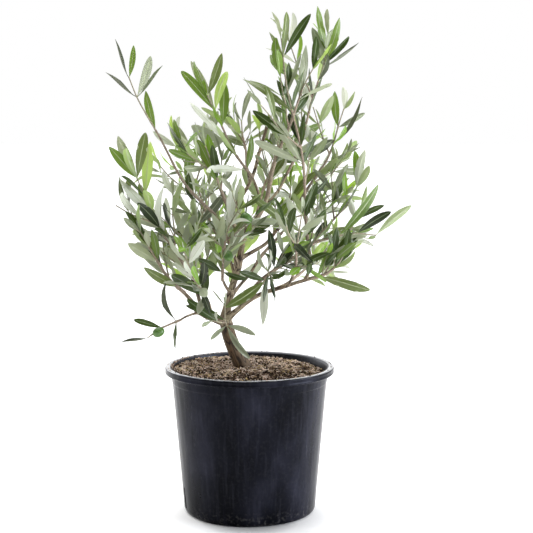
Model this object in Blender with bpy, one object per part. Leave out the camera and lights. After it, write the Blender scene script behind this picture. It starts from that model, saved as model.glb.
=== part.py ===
"""Olive bonsai in a round plastic nursery pot.

The plant is an assembly of separate pieces: a leaning trunk with a root flare, tapering
boughs, masses of foliage, the potting compost and the pot.  Each bough runs from a named
place on its carrier to a named tip.  Each foliage mass grows from its bough's tip by one
seeded rule: a stem, side twigs, and opposite pairs of leaves turned a quarter from node
to node.  The origin is the centre of the pot's flat underside.
"""
import math
import random
from collections import namedtuple

import bmesh
import bpy
from mathutils import Matrix, Vector
from mathutils.bvhtree import BVHTree

MM = 0.001
GAP = 0.3 * MM
UP = Vector((0, 0, 1))
FRONT = Vector((0, -1, 0))
SEED = 41
BOUGH_SEED = SEED + 100
STEM_SEED = SEED + 200
GROWTH_SEED = SEED + 300

# Pot
POT_HEIGHT = 208.4 * MM
RIM_RADIUS = 120 * MM
RIM_DEPTH = 10 * MM
RIM_ROLL = 2.2 * MM
WALL = 2 * MM
TOP_RADIUS = 110.5 * MM
BASE_RADIUS = 92 * MM
BASE_BEVEL = 4 * MM
FOOT_RING_WIDTH = 10 * MM
CENTRE_PAD_RADIUS = 30 * MM
RECESS = 3 * MM
POT_SIDES = 36
DRAIN_HOLE_SIDES = 10
DRAIN_HOLES = 6
DRAIN_HOLE_RADIUS = 5 * MM
DRAIN_RING_RADIUS = 56 * MM
SLOT_WIDTH = 8 * MM
SLOT_FOOT = 8 * MM
SLOT_TOP = 38 * MM
SLOT_TURN = 17
SLOT_TAPER = 0.7

# Compost
SOIL_EDGE = 202.5 * MM
SOIL_TOP = 206 * MM
SOIL_FLAT_RADIUS = 32 * MM
SOIL_EDGE_WIDTH = 22 * MM
SOIL_SHOULDER_WIDTH = 24 * MM

# Trunk
TRUNK_FOOT = Vector((-9, 0, 206.3)) * MM
TRUNK_TIP = Vector((-33, 0, 269)) * MM
TRUNK_BOW = Vector((-4, 0, 2)) * MM
TRUNK_FOOT_RADIUS = 10.8 * MM
TRUNK_TIP_RADIUS = 9.2 * MM
FLARE = 5 * MM
FLARE_HEIGHT = 9 * MM
FLARE_ROOTS = 5
FLARE_TURN = 0.6
TRUNK_SIDES = 16
TRUNK_RINGS = 11
TRUNK_CROWN = ((4.0 * MM, 0.86), (7.0 * MM, 0.52))

# Limbs and foliage
BOUGH_SIDES = 6
BOUGH_STEP = 24 * MM
WANDER = 0.018
WANDER_TURNS = 1.1
STEM_SIDES = 3
STEM_STEP = 26 * MM
STEM_TIP_RADIUS = 0.75 * MM
TWIG_SIDES = 3
TWIG_RADIUS = 1.15 * MM
TWIG_TIP_RADIUS = 0.7 * MM
TWIG_STEP = 24 * MM
TWIG_SAG = 0.04
TWIG_FIRST = 0.12
TWIG_SPREAD = 0.55
TWIG_TURN = 137.5
TWIG_RETRY_TURN = 60
TWIG_TRIES = 6
TWIG_SHARE = (0.42, 0.6)
TWIG_SHORTEST = 34 * MM
TWIG_LONGEST = 85 * MM
TWIG_FOOT = 0.18

# Leaves
INTERNODE = 24 * MM
STEM_FIRST_PAIR = 0.10
TWIG_FIRST_PAIR = 0.32
PAIR_TURN = 90
LEAF_WIDTH = 0.215
LEAF_WIDEST = 13 * MM
LEAF_THICKNESS = 0.016
LEAF_LEAST = 0.7 * MM
LEAF_STATIONS = (0.32, 0.70)
LEAF_FULLNESS = (1.0, 0.86)
LEAF_RIDGE = 0.52
LEAF_FOOT = 0.12
LEAF_ANGLES = (32, 62)
LEAF_CLOSING = 14
LEAF_LIFT = 0.06
LEAF_LENGTHS = (0.78, 1.18)
LEAF_WIDTHS = (0.88, 1.12)
LEAF_BENDS = (-0.14, 0.10)
LEAF_TRIES = 4
FOOT_LENGTH = 1.06
TIP_SHORTENING = 0.28
OUTER_LENGTH = 1.12
OUTER_BENDS = (-0.1, 0.1)
OUTER_TURNS = (0, 25, -25, 50, -50)
LEAST_LEAN = 0.75
LEAN_WEIGHT = 1.2
EDGE_ON_TURN = 75
EDGE_ON_BEND = 0.3
SAME_NODE = 1 * MM
SAME_WAY = 0.2
ROOT_SINK = 0.15 * MM
CLEARANCE = 0.35 * MM
MERGE = 0.00001 * MM

# Olives
OLIVE_LENGTH = 17.5 * MM
OLIVE_WIDTH = 13.5 * MM
OLIVE_SIDES = 8
OLIVE_RINGS = (-0.62, 0.0, 0.62)
STALK_RADIUS = 0.8 * MM
STALK_REACH = 0.75
STALK_PLACES = 40
STALK_FIRST_PLACE = 8

Bough = namedtuple("Bough", "name carrier place tip bow foot_radius tip_radius")
Mass = namedtuple("Mass", "name carrier tip bow twigs leaf fullness roll tips")
Leaf = namedtuple("Leaf", "root along face length width bend")

# Boughs: carrier, place along it, tip and bow in millimetres, foot and tip radius
BOUGHS = (
    Bough("bough_left", "trunk", 0.88, (-74, -8, 287), (0, 0, -2), 5.0, 3.8),
    Bough("bough_left_low", "bough_left", 0.90, (-97, -30, 277), (0, 0, 2), 1.9, 1.5),
    Bough("bough_left_outer", "bough_left", 1.0, (-92, -18, 315), (2, 0, 1), 3.1, 2.4),
    Bough("bough_left_upper", "bough_left", 0.80, (-90, -8, 350), (3, 3, 0), 3.0, 2.2),
    Bough("bough_left_inner", "bough_left", 0.58, (-64, 16, 322), (-2, 2, 1), 2.7, 2.0),
    Bough("bough_left_back", "bough_left", 0.42, (-68, 40, 308), (2, 4, -3), 2.5, 2.0),
    Bough("bough_left_front", "bough_left", 0.50, (-58, -34, 306), (2, -4, -3), 2.3, 1.9),
    Bough("bough_central", "trunk", 1.0, (-8, 5, 396), (1, 0, 0), 5.4, 4.2),
    Bough("bough_centre_right", "bough_central", 1.0, (26, 11, 450), (5, 0, -2), 3.9, 2.9),
    Bough("bough_centre_left", "bough_central", 0.93, (-31, -4, 436), (-4, -2, 0), 3.2, 2.4),
    Bough("bough_top_centre", "bough_centre_left", 0.70, (27, 12, 553), (6, 3, -4), 2.6, 2.3),
    Bough("bough_upper_centre", "bough_top_centre", 0.40, (-4, 26, 490), (0, 2, -2), 2.0, 1.7),
    Bough("bough_upper_left", "bough_centre_right", 0.60, (4, -12, 476), (3, -2, 1), 2.2, 1.8),
    Bough("bough_far_left", "bough_central", 0.60, (-48, -20, 424), (3, -3, 1), 2.4, 1.9),
    Bough("bough_back_left", "bough_central", 0.48, (-46, 44, 388), (2, 4, 1), 2.4, 2.0),
    Bough("bough_front_left", "bough_central", 0.30, (-37, -30, 335), (0, -4, -2), 2.3, 1.8),
    Bough("bough_right_back", "bough_central", 0.70, (38, 20, 398), (3, 1, -4), 2.8, 2.3),
    Bough("bough_right_top", "bough_right_back", 1.0, (72, 36, 440), (2, 0, -2), 2.3, 2.0),
    Bough("bough_back_centre", "bough_central", 0.82, (12, 38, 428), (0, 4, -2), 2.3, 1.9),
    Bough("bough_top_right", "bough_centre_right", 0.62, (54, 28, 480), (2, 3, -4), 2.2, 1.9),
    Bough("bough_right", "trunk", 0.93, (88, -45, 338), (-4, -3, 9), 3.9, 2.3),
    Bough("bough_right_front", "bough_right", 0.92, (84, -49, 366), (2, -1, 0), 2.2, 2.0),
    Bough("bough_upper_right", "bough_right", 0.20, (62, -3, 362), (-4, 2, 6), 2.8, 2.2),
    Bough("bough_right_mid", "bough_upper_right", 0.82, (88, -14, 384), (2, -2, -1), 2.0, 1.7),
    Bough("bough_front", "bough_upper_right", 0.42, (20, -32, 330), (-2, -3, -1), 2.0, 1.7),
    Bough("bough_back", "trunk", 0.96, (-24, 38, 318), (0, 4, -3), 3.2, 2.5),
    Bough("bough_back_right", "bough_back", 0.70, (12, 58, 352), (0, 4, -3), 2.5, 2.1),
    Bough("bough_right_low", "bough_right", 0.55, (62, 10, 330), (0, 3, -2), 2.2, 1.8),
    Bough("bough_front_right", "bough_right", 0.72, (60, -64, 344), (0, -4, -2), 2.1, 1.8),
)

# Foliage masses: carrier, stem tip and bow in millimetres, side twigs, usual leaf length, share
# of the seeded leaves that grow, turn of the first pair in degrees, and the furthest leaf tips,
# each with the turn of its blade from facing the front
MASSES = (
    Mass("foliage_left_low", "bough_left_low", (-139, -48, 256), (0, 0, 3), 0, 36, 0.3, 60,
         ((-158, -50, 281, 20), (-176, -48, 252, 80), (-158, -50, 240, 70), (-104, -45, 239, 40),
          (-117, -42, 330, 85))),
    Mass("foliage_left_outer", "bough_left_outer", (-148, -50, 402), (-4, 0, -4), 1, 50, 0.8, 30,
         ((-166, -50, 431, 65), (-158, -55, 416, 25), (-134, -40, 405, 10), (-164, -60, 387, 15),
          (-124, -50, 331, 40), (-140, -58, 352, 10))),
    Mass("foliage_left_upper", "bough_left_upper", (-154, -30, 474), (-3, 0, -3), 2, 58, 0.8, 10,
         ((-192, -30, 518, 10), (-182, -18, 531, 30), (-141, -30, 536, 15), (-140, 4, 521, 5),
          (-179, -40, 473, 35), (-150, -52, 440, 10))),
    Mass("foliage_left_inner", "bough_left_inner", (-82, 30, 440), (-2, 0, 0), 3, 60, 0.85, 0, ()),
    Mass("foliage_left_back", "bough_left_back", (-120, 104, 396), (0, 4, -6), 3, 60, 0.8, 40,
         ()),
    Mass("foliage_left_front", "bough_left_front", (-86, -104, 382), (0, -4, -5), 2, 58, 0.8, 70,
         ((-106, -66, 344, 20), (-58, -84, 352, 10))),
    Mass("foliage_centre_left", "bough_centre_left", (-60, -24, 518), (-2, 0, 2), 2, 56, 0.85, 20,
         ((-77, -25, 523, 15), (-57, -20, 534, 30), (-50, -34, 519, 5))),
    Mass("foliage_upper_centre", "bough_upper_centre", (-12, 62, 552), (0, 3, 2), 2, 56, 0.85, 50,
         ()),
    Mass("foliage_upper_left", "bough_upper_left", (-58, -6, 588), (-3, 2, -4), 1, 60, 0.65, 0,
         ((-94, -5, 621, 10), (-82, 6, 634, 20), (-38, 0, 646, 10), (-35, 8, 607, 20),
          (-81, -12, 578, 35))),
    Mass("foliage_far_left", "bough_far_left", (-164, -28, 612), (-7, 2, -12), 0, 48, 0.15, 0,
         ((-178, -28, 663, 80), (-157, -24, 656, 10), (-133, -32, 640, 30), (-191, -34, 621, 80),
          (-123, -20, 630, 75), (-141, -26, 594, 10))),
    Mass("foliage_back_left", "bough_back_left", (-108, 98, 516), (0, 4, 0), 3, 58, 0.8, 25,
         ((-121, 96, 559, 30), (-105, 90, 546, 5))),
    Mass("foliage_front_left", "bough_front_left", (-14, -80, 434), (-8, -3, 0), 3, 58, 0.8, 45,
         ((-68, -62, 366, 20), (-2, -56, 338, 15), (-56, -76, 404, 10), (-22, -66, 472, 20))),
    Mass("foliage_right_top", "bough_right_top", (134, 42, 570), (6, 2, -4), 2, 58, 0.95, 15,
         ((150, 42, 618, 25), (156, 36, 586, 80), (165, 46, 571, 15), (163, 38, 556, 20),
          (122, 50, 596, 10), (157, 40, 518, 80))),
    Mass("foliage_back_centre", "bough_back_centre", (46, 94, 534), (0, 4, 0), 3, 60, 0.85, 35, ()),
    Mass("foliage_top_right", "bough_top_right", (110, 18, 672), (8, 2, 0), 2, 58, 0.85, 5,
         ((94, 10, 711, 10), (126, 18, 696, 30), (140, 12, 668, 20), (151, 24, 661, 85))),
    Mass("foliage_centre_right", "bough_centre_right", (88, -6, 624), (-6, -2, 4), 2, 60, 0.95, 50,
         ((79, -4, 657, 30),)),
    Mass("foliage_right", "bough_right", (130, -58, 372), (4, 0, -6), 1, 52, 0.9, 20,
         ((164, -62, 320, 20), (144, -60, 347, 30))),
    Mass("foliage_right_front", "bough_right_front", (44, -30, 664), (2, -4, 0), 2, 62, 0.7, 35,
         ((-5, -38, 613, 10), (20, -30, 620, 15), (31, -26, 674, 25), (29, -34, 699, 80),
          (54, -30, 700, 45), (84, -30, 697, 10), (38, -52, 553, 15), (2, -66, 452, 30),
          (8, -46, 525, 20), (104, -60, 432, 10))),
    Mass("foliage_upper_right", "bough_upper_right", (151, 10, 460), (6, 2, -6), 2, 56, 0.8, 0,
         ((162, 8, 513, 10), (149, 14, 511, 10))),
    Mass("foliage_right_mid", "bough_right_mid", (177, -10, 394), (0, 0, 5), 1, 54, 0.75, 10,
         ((226, -10, 435, 15), (197, -16, 427, 10), (180, -4, 464, 10), (174, -10, 379, 40))),
    Mass("foliage_front", "bough_front", (46, -72, 374), (0, -3, -2), 2, 52, 0.9, 0,
         ((52, -66, 350, 20), (70, -66, 402, 10), (30, -66, 405, 30), (-10, -70, 350, 25),
          (-32, -62, 300, 20), (22, -58, 273, 35))),
    Mass("foliage_low_front", "trunk", (-33, -50, 300), (0, -4, -8), 1, 52, 0.4, 0,
         ((-86, -46, 300, 15), (-2, -34, 224, 10), (10, -32, 257, 20), (-54, -36, 250, 30))),
    Mass("foliage_back", "bough_back", (-22, 120, 428), (0, 6, -4), 3, 60, 0.85, 30, ()),
    Mass("foliage_back_right", "bough_back_right", (92, 118, 462), (0, 4, -6), 3, 60, 0.8, 60,
         ()),
    Mass("foliage_right_low", "bough_right_low", (122, 80, 380), (0, 4, -5), 2, 60, 0.85, 10, ()),
    Mass("foliage_front_right", "bough_front_right", (70, -120, 430), (0, -4, -5), 2, 56, 0.8, 55,
         ()),
)

# Olives: the mass that bears each one and the place of its middle in millimetres
OLIVES = (
    ("foliage_left_low", (-125, -47, 263)),
    ("foliage_front_left", (-3, -80, 423)),
    ("foliage_front_left", (-28, -68, 371)),
)

# The crown's outline from the front, in millimetres: height, furthest left and furthest right
CROWN_OUTLINE = (
    (224, -60, 10), (290, -110, 40), (320, -135, 165), (390, -168, 182), (435, -172, 228),
    (475, -184, 205), (525, -197, 172), (580, -170, 166), (650, -185, 156), (712, -185, 130),
)
CROWN_DEPTH = 172 * MM

# Where the low mass's stem leaves the trunk, along the trunk and to which side
TRUNK_STEM_PLACE = 0.80


def clear_scene():
    """Remove whatever the scene holds."""
    for item in list(bpy.data.objects):
        bpy.data.objects.remove(item, do_unlink=True)


def millimetres(values):
    """A place or an offset given in millimetres, as a vector in metres."""
    return Vector(values[:3]) * MM


def material(name, colour, roughness):
    """A plain Principled material."""
    finish = bpy.data.materials.new(name)
    finish.use_nodes = True
    shader = finish.node_tree.nodes["Principled BSDF"]
    shader.inputs["Base Color"].default_value = (*colour, 1)
    shader.inputs["Roughness"].default_value = roughness
    shader.inputs["Metallic"].default_value = 0
    return finish


def add_object(name, verts, faces, finish):
    """A named mesh object made of vertices and faces."""
    mesh = bpy.data.meshes.new(name)
    mesh.from_pydata([tuple(vert) for vert in verts], [], faces)
    mesh.update()
    mesh.materials.append(finish)
    item = bpy.data.objects.new(name, mesh)
    bpy.context.scene.collection.objects.link(item)
    return item


def bowed_path(foot, tip, bow, step, wander, rng):
    """Points from foot to tip, pushed aside by the bow and by a slight seeded wander."""
    length = (tip - foot).length
    count = max(3, round(length / step))
    across = (tip - foot).orthogonal().normalized()
    second = across.cross(tip - foot).normalized()
    turn = rng.uniform(0, math.tau)
    points = []
    for index in range(count + 1):
        place = index / count
        drift = wander * length * math.sin(math.pi * place)
        swing = turn + math.tau * WANDER_TURNS * place
        sway = (across * math.cos(swing) + second * math.sin(swing)) * drift
        points.append(foot.lerp(tip, place) + bow * (4 * place * (1 - place)) + sway)
    return points


def point_at(path, place):
    """The point and the direction at a place, from 0 to 1, along a path."""
    reach = min(max(place, 0.0), 1.0) * (len(path) - 1)
    index = min(int(reach), len(path) - 2)
    along = (path[index + 1] - path[index]).normalized()
    return path[index].lerp(path[index + 1], reach - index), along


def direction_at(path, index):
    """The direction of a path at one of its points."""
    before = path[max(index - 1, 0)]
    after = path[min(index + 1, len(path) - 1)]
    return (after - before).normalized()


def tube(path, radii, sides, first_along=None, swell=0.0):
    """Vertices and faces of a closed tapering tube along a path."""
    verts = []
    faces = []
    side = (first_along or direction_at(path, 0)).orthogonal().normalized()
    last = len(path) - 1
    for index, point in enumerate(path):
        along = direction_at(path, index)
        if index == 0 and first_along is not None:
            along = first_along
        side = (side - along * side.dot(along)).normalized()
        third = along.cross(side)
        centre = point.copy()
        if index == last:
            centre = point + along * swell
        if index == 0:
            centre = point - along * swell
        for step in range(sides):
            angle = math.tau * step / sides
            reach = radii[index] + swell
            verts.append(centre + (side * math.cos(angle) + third * math.sin(angle)) * reach)
    for ring in range(last):
        for step in range(sides):
            following = (step + 1) % sides
            faces.append((ring * sides + step, ring * sides + following,
                          (ring + 1) * sides + following, (ring + 1) * sides + step))
    faces.append(tuple(reversed(range(sides))))
    faces.append(tuple(range(last * sides, (last + 1) * sides)))
    return verts, faces


def tapering(count, foot_radius, tip_radius):
    """Radii that fall evenly from foot to tip."""
    return [foot_radius + (tip_radius - foot_radius) * index / (count - 1) for index in range(count)]


class Limb:
    """A trunk, bough, stem or twig: its path, its radii and the shape that others keep clear of."""

    def __init__(self, path, radii, sides, first_along=None):
        self.path = path
        self.radii = radii
        self.sides = sides
        self.first_along = first_along

    def shape(self, swell=0.0):
        return tube(self.path, self.radii, self.sides, self.first_along, swell)

    def radius_at(self, place):
        reach = min(max(place, 0.0), 1.0) * (len(self.radii) - 1)
        index = min(int(reach), len(self.radii) - 2)
        share = reach - index
        return self.radii[index] * (1 - share) + self.radii[index + 1] * share


class Solid:
    """A shape that leaves and twigs are tested against, with its owner and a sphere round it."""

    def __init__(self, owner, verts, faces):
        self.owner = owner
        self.tree = BVHTree.FromPolygons(verts, faces)
        self.centre = sum(verts, Vector()) / len(verts)
        self.radius = max((vert - self.centre).length for vert in verts)

    def meets(self, other):
        if (self.centre - other.centre).length > self.radius + other.radius:
            return False
        return bool(self.tree.overlap(other.tree))


def trunk_limb():
    """The trunk: leaning, tapering and rounded over at the fork."""
    rng = random.Random(SEED)
    step = (TRUNK_TIP - TRUNK_FOOT).length / TRUNK_RINGS
    path = bowed_path(TRUNK_FOOT, TRUNK_TIP, TRUNK_BOW, step, 0.0, rng)
    radii = tapering(len(path), TRUNK_FOOT_RADIUS, TRUNK_TIP_RADIUS)
    along = direction_at(path, len(path) - 1)
    for rise, share in TRUNK_CROWN:
        path.append(TRUNK_TIP + along * rise)
        radii.append(TRUNK_TIP_RADIUS * share)
    return Limb(path, radii, TRUNK_SIDES, UP)


def flare_roots(verts):
    """Spread the trunk's foot into a few low root ridges."""
    lowest = TRUNK_FOOT.z
    for vert in verts:
        height = max(vert.z - lowest, 0.0)
        axis = TRUNK_FOOT.lerp(TRUNK_TIP, min(max(height / (TRUNK_TIP.z - lowest), 0), 1))
        outward = Vector((vert.x - axis.x, vert.y - axis.y, 0))
        angle = math.atan2(outward.y, outward.x)
        ridge = 0.65 + 0.35 * math.cos(FLARE_ROOTS * angle + FLARE_TURN)
        spread = FLARE * ridge * math.exp(-((height / FLARE_HEIGHT) ** 1.3))
        vert += outward.normalized() * spread
    return verts


def bough_limbs(trunk):
    """Every bough, in the table's order, each from its place on its carrier to its tip."""
    limbs = {"trunk": trunk}
    for number, row in enumerate(BOUGHS):
        rng = random.Random(BOUGH_SEED + number)
        carrier = limbs[row.carrier]
        foot, along = point_at(carrier.path, row.place)
        first_along = None
        if row.place == 1.0 and row.carrier != "trunk":
            foot = foot + along * GAP
            first_along = along
        path = bowed_path(foot, millimetres(row.tip), millimetres(row.bow), BOUGH_STEP, WANDER,
                          rng)
        radii = tapering(len(path), row.foot_radius * MM, row.tip_radius * MM)
        limbs[row.name] = Limb(path, radii, BOUGH_SIDES, first_along)
    return limbs


def stem_limb(row, number, limbs):
    """The main stem of a foliage mass, the gap clear of its bough's tip or of the trunk."""
    rng = random.Random(STEM_SEED + number)
    carrier = limbs[row.carrier]
    foot_radius = TWIG_RADIUS
    if row.carrier == "trunk":
        foot, along = point_at(carrier.path, TRUNK_STEM_PLACE)
        along = FRONT
        foot = foot + along * (carrier.radius_at(TRUNK_STEM_PLACE) + GAP)
    else:
        foot, along = point_at(carrier.path, 1.0)
        foot = foot + along * GAP
        foot_radius = carrier.radii[-1]
    path = bowed_path(foot, millimetres(row.tip), millimetres(row.bow), STEM_STEP, WANDER, rng)
    radii = tapering(len(path), foot_radius, STEM_TIP_RADIUS)
    return Limb(path, radii, STEM_SIDES, along)


def side_twigs(row, stem, rng, free):
    """Side twigs that leave the stem by turns, skipping any that would touch something."""
    twigs = []
    length = sum((b - a).length for a, b in zip(stem.path, stem.path[1:]))
    for number in range(row.twigs):
        place = TWIG_FIRST + TWIG_SPREAD * (number + rng.uniform(0.2, 0.8)) / row.twigs
        foot, along = point_at(stem.path, place)
        across = along.orthogonal().normalized()
        for attempt in range(TWIG_TRIES):
            turn = math.radians(row.roll + TWIG_TURN * number + TWIG_RETRY_TURN * attempt)
            side = Matrix.Rotation(turn, 3, along) @ across
            heading = (along * 0.75 + side * 0.75 + UP * 0.2).normalized()
            reach = min(max(length * rng.uniform(*TWIG_SHARE), TWIG_SHORTEST), TWIG_LONGEST)
            tip = foot + heading * reach
            path = bowed_path(foot, tip, UP * reach * -TWIG_SAG, TWIG_STEP, WANDER, rng)
            radii = tapering(len(path), TWIG_RADIUS, TWIG_TIP_RADIUS)
            twig = Limb(path, radii, TWIG_SIDES)
            if free(twig):
                twigs.append(twig)
                break
    return twigs


def trimmed_twig(twig):
    """A twig's test shape, without the foot that is sunk in its stem."""
    foot, _ = point_at(twig.path, TWIG_FOOT)
    path = [foot] + twig.path[1:]
    return tube(path, twig.radii, twig.sides, None, CLEARANCE)


def within_crown(point):
    """Whether a leaf's tip stays inside the crown's outline."""
    if abs(point.y) > CROWN_DEPTH:
        return False
    for low, high in zip(CROWN_OUTLINE, CROWN_OUTLINE[1:]):
        bottom, left, right = (value * MM for value in low)
        top, upper_left, upper_right = (value * MM for value in high)
        if bottom <= point.z < top:
            share = (point.z - bottom) / (top - bottom)
            reach_left = left + (upper_left - left) * share
            reach_right = right + (upper_right - right) * share
            return reach_left <= point.x <= reach_right
    return False


def nodes_along(limb, first, roll):
    """Places where leaf pairs sit: the point, the direction and a side that turns by quarters."""
    length = sum((b - a).length for a, b in zip(limb.path, limb.path[1:]))
    count = max(2, round(length * (1 - first) / INTERNODE))
    nodes = []
    for number in range(count + 1):
        place = first + (1 - first) * number / count
        point, along = point_at(limb.path, place * 0.995)
        side = (FRONT.cross(along)).normalized()
        turn = math.radians(roll + PAIR_TURN * number)
        nodes.append((point, along, Matrix.Rotation(turn, 3, along) @ side, place))
    return nodes


def leaf_middle(leaf, place):
    """The point of a leaf's midrib at a share of its length."""
    lift = leaf.bend * leaf.length * place ** 2
    return leaf.root + leaf.along * (leaf.length * place) + leaf.face * lift


def leaf_shape(leaf, start=0.0, swell=0.0):
    """A leaf as a closed solid: a pointed root and tip, flat below, one high point above."""
    across = leaf.along.cross(leaf.face).normalized()
    low = leaf.face * -swell
    high = leaf.face * (max(leaf.length * LEAF_THICKNESS, LEAF_LEAST) + swell)
    verts = [leaf_middle(leaf, start) - leaf.along * swell]
    for place, fullness in zip(LEAF_STATIONS, LEAF_FULLNESS):
        half = across * (leaf.width / 2 * fullness + swell)
        verts.append(leaf_middle(leaf, place) - half + low)
        verts.append(leaf_middle(leaf, place) + half + low)
    verts.append(leaf_middle(leaf, 1.0) + leaf.along * swell)
    verts.append(leaf_middle(leaf, LEAF_RIDGE) + high)
    faces = [(0, 1, 2), (1, 3, 4, 2), (3, 5, 4), (0, 6, 1), (1, 6, 3), (3, 6, 5), (5, 6, 4),
             (4, 6, 2), (2, 6, 0)]
    return verts, faces


def leaf_towards(node, aim, turn, bend):
    """A leaf from a node to a stated tip, its blade turned about its length."""
    point = node[0]
    heading = (aim - point).normalized()
    root = point - heading * ROOT_SINK
    facing = (FRONT - heading * FRONT.dot(heading)).normalized()
    face = Matrix.Rotation(math.radians(turn), 3, heading) @ facing
    if bend == EDGE_ON_BEND and face.z < 0:
        face = -face
    length = (aim - root).length
    straight = (aim - root - face * (bend * length)).normalized()
    face = (face - straight * face.dot(straight)).normalized()
    width = min(length * LEAF_WIDTH, LEAF_WIDEST)
    return Leaf(root, straight, face, length, width, bend)


def seeded_leaf(node, side, length, rng):
    """A leaf on one side of a node, at a seeded angle, length, twist and bend."""
    point, along, _, place = node
    angle = math.radians(rng.uniform(*LEAF_ANGLES) - LEAF_CLOSING * place)
    heading = (along * math.cos(angle) + side * math.sin(angle) + UP * LEAF_LIFT).normalized()
    chance = Vector([rng.uniform(-1, 1) for _ in range(3)])
    face = along * 0.45 + UP * 0.3 + chance
    face = (face - heading * face.dot(heading)).normalized()
    reach = length * rng.uniform(*LEAF_LENGTHS) * (FOOT_LENGTH - TIP_SHORTENING * place)
    root = point - heading * ROOT_SINK
    width = reach * LEAF_WIDTH * rng.uniform(*LEAF_WIDTHS)
    return Leaf(root, heading, face, reach, width, rng.uniform(*LEAF_BENDS))


def outer_leaves(row, nodes, rng, free):
    """Leaves that reach the mass's stated furthest tips, each from the node that suits it best."""
    leaves = []
    for values in row.tips:
        aim = millimetres(values)
        wanted = row.leaf * MM * OUTER_LENGTH

        def unfitness(node):
            offset = aim - node[0]
            lean = offset.normalized().dot(node[1])
            return abs(offset.length - wanted) / wanted + max(0.0, LEAST_LEAN - lean) * LEAN_WEIGHT

        node = min(nodes, key=unfitness)
        bend = rng.uniform(*OUTER_BENDS)
        if values[3] >= EDGE_ON_TURN:
            bend = EDGE_ON_BEND
        for turned in OUTER_TURNS:
            leaf = leaf_towards(node, aim, values[3] + turned, bend)
            if free(leaf):
                leaves.append((leaf, node))
                break
    return leaves


def crowded(node, side, taken):
    """Whether a node has a leaf on this side already."""
    for point, along in taken:
        if (point - node[0]).length < SAME_NODE and along.dot(side) > SAME_WAY:
            return True
    return False


def grow_mass(row, number, stem, solids):
    """The twigs and leaves of one mass, clear of all that stands already."""
    rng = random.Random(GROWTH_SEED + number)

    def clear_of_all(shape, own_shape):
        whole = Solid(row.name, *shape)
        trimmed = Solid(row.name, *own_shape)
        for solid in solids:
            probe = trimmed if solid.owner == row.name else whole
            if probe.meets(solid):
                return False
        return True

    def free_twig(twig):
        return clear_of_all(twig.shape(CLEARANCE), trimmed_twig(twig))

    def free_leaf(leaf):
        return clear_of_all(leaf_shape(leaf, 0.0, CLEARANCE), leaf_shape(leaf, LEAF_FOOT, CLEARANCE))

    twigs = side_twigs(row, stem, rng, free_twig)
    for twig in twigs:
        solids.append(Solid(row.name, *twig.shape()))
    stem_nodes = nodes_along(stem, STEM_FIRST_PAIR, row.roll)
    leaves = []
    taken = []

    def keep(leaf, node):
        leaves.append(leaf)
        taken.append((node[0], leaf.along))
        solids.append(Solid(row.name, *leaf_shape(leaf)))

    for leaf, node in outer_leaves(row, stem_nodes, rng, free_leaf):
        if free_leaf(leaf):
            keep(leaf, node)
    for limb in [stem] + twigs:
        nodes = stem_nodes
        if limb is not stem:
            nodes = nodes_along(limb, TWIG_FIRST_PAIR, row.roll + PAIR_TURN / 2)
        for node in nodes:
            for way in (1, -1):
                side = node[2] * way
                if rng.random() > row.fullness or crowded(node, side, taken):
                    continue
                for attempt in range(LEAF_TRIES):
                    swing = Matrix.Rotation(rng.uniform(-0.5, 0.5) * attempt, 3, node[1])
                    leaf = seeded_leaf(node, swing @ side, row.leaf * MM, rng)
                    if within_crown(leaf_middle(leaf, 1.0)) and free_leaf(leaf):
                        keep(leaf, node)
                        break
    return twigs, leaves


def olives_of(row, stem):
    """The olives of a mass: the stalk from its stem, the middle and the long axis."""
    olives = []
    for owner, values in OLIVES:
        if owner != row.name:
            continue
        centre = millimetres(values)
        steps = range(STALK_FIRST_PLACE, STALK_PLACES + 1)
        places = [point_at(stem.path, step / STALK_PLACES)[0] for step in steps]
        reach = OLIVE_LENGTH * STALK_REACH
        foot = min(places, key=lambda point: abs((point - centre).length - reach))
        axis = (centre - foot).normalized()
        stalk = Limb([foot, foot.lerp(centre, 0.5), centre], [STALK_RADIUS] * 3, TWIG_SIDES)
        olives.append((stalk, centre, axis))
    return olives


def olive_shape(centre, axis, swell=0.0):
    """An egg-shaped olive about its long axis."""
    side = axis.orthogonal().normalized()
    third = axis.cross(side)
    verts = [centre - axis * (OLIVE_LENGTH / 2 + swell)]
    for place in OLIVE_RINGS:
        half = (OLIVE_WIDTH / 2 + swell) * math.sqrt(1 - place * place)
        for step in range(OLIVE_SIDES):
            angle = math.tau * step / OLIVE_SIDES
            offset = side * math.cos(angle) + third * math.sin(angle)
            verts.append(centre + axis * (place * OLIVE_LENGTH / 2) + offset * half)
    verts.append(centre + axis * (OLIVE_LENGTH / 2 + swell))
    top = len(verts) - 1
    faces = []
    for step in range(OLIVE_SIDES):
        following = (step + 1) % OLIVE_SIDES
        faces.append((0, 1 + following, 1 + step))
        faces.append((top, top - OLIVE_SIDES + step, top - OLIVE_SIDES + following))
        for ring in range(len(OLIVE_RINGS) - 1):
            low = 1 + ring * OLIVE_SIDES
            high = low + OLIVE_SIDES
            faces.append((low + step, low + following, high + following, high + step))
    return verts, faces


def evaluated_mesh(item):
    """The mesh of an object with its modifiers carried out."""
    graph = bpy.context.evaluated_depsgraph_get()
    graph.update()
    return bpy.data.meshes.new_from_object(item.evaluated_get(graph))


def apply_modifiers(item):
    """Carry out an object's modifiers on its mesh."""
    mesh = evaluated_mesh(item)
    item.modifiers.clear()
    old = item.data
    item.data = mesh
    bpy.data.meshes.remove(old)


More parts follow.
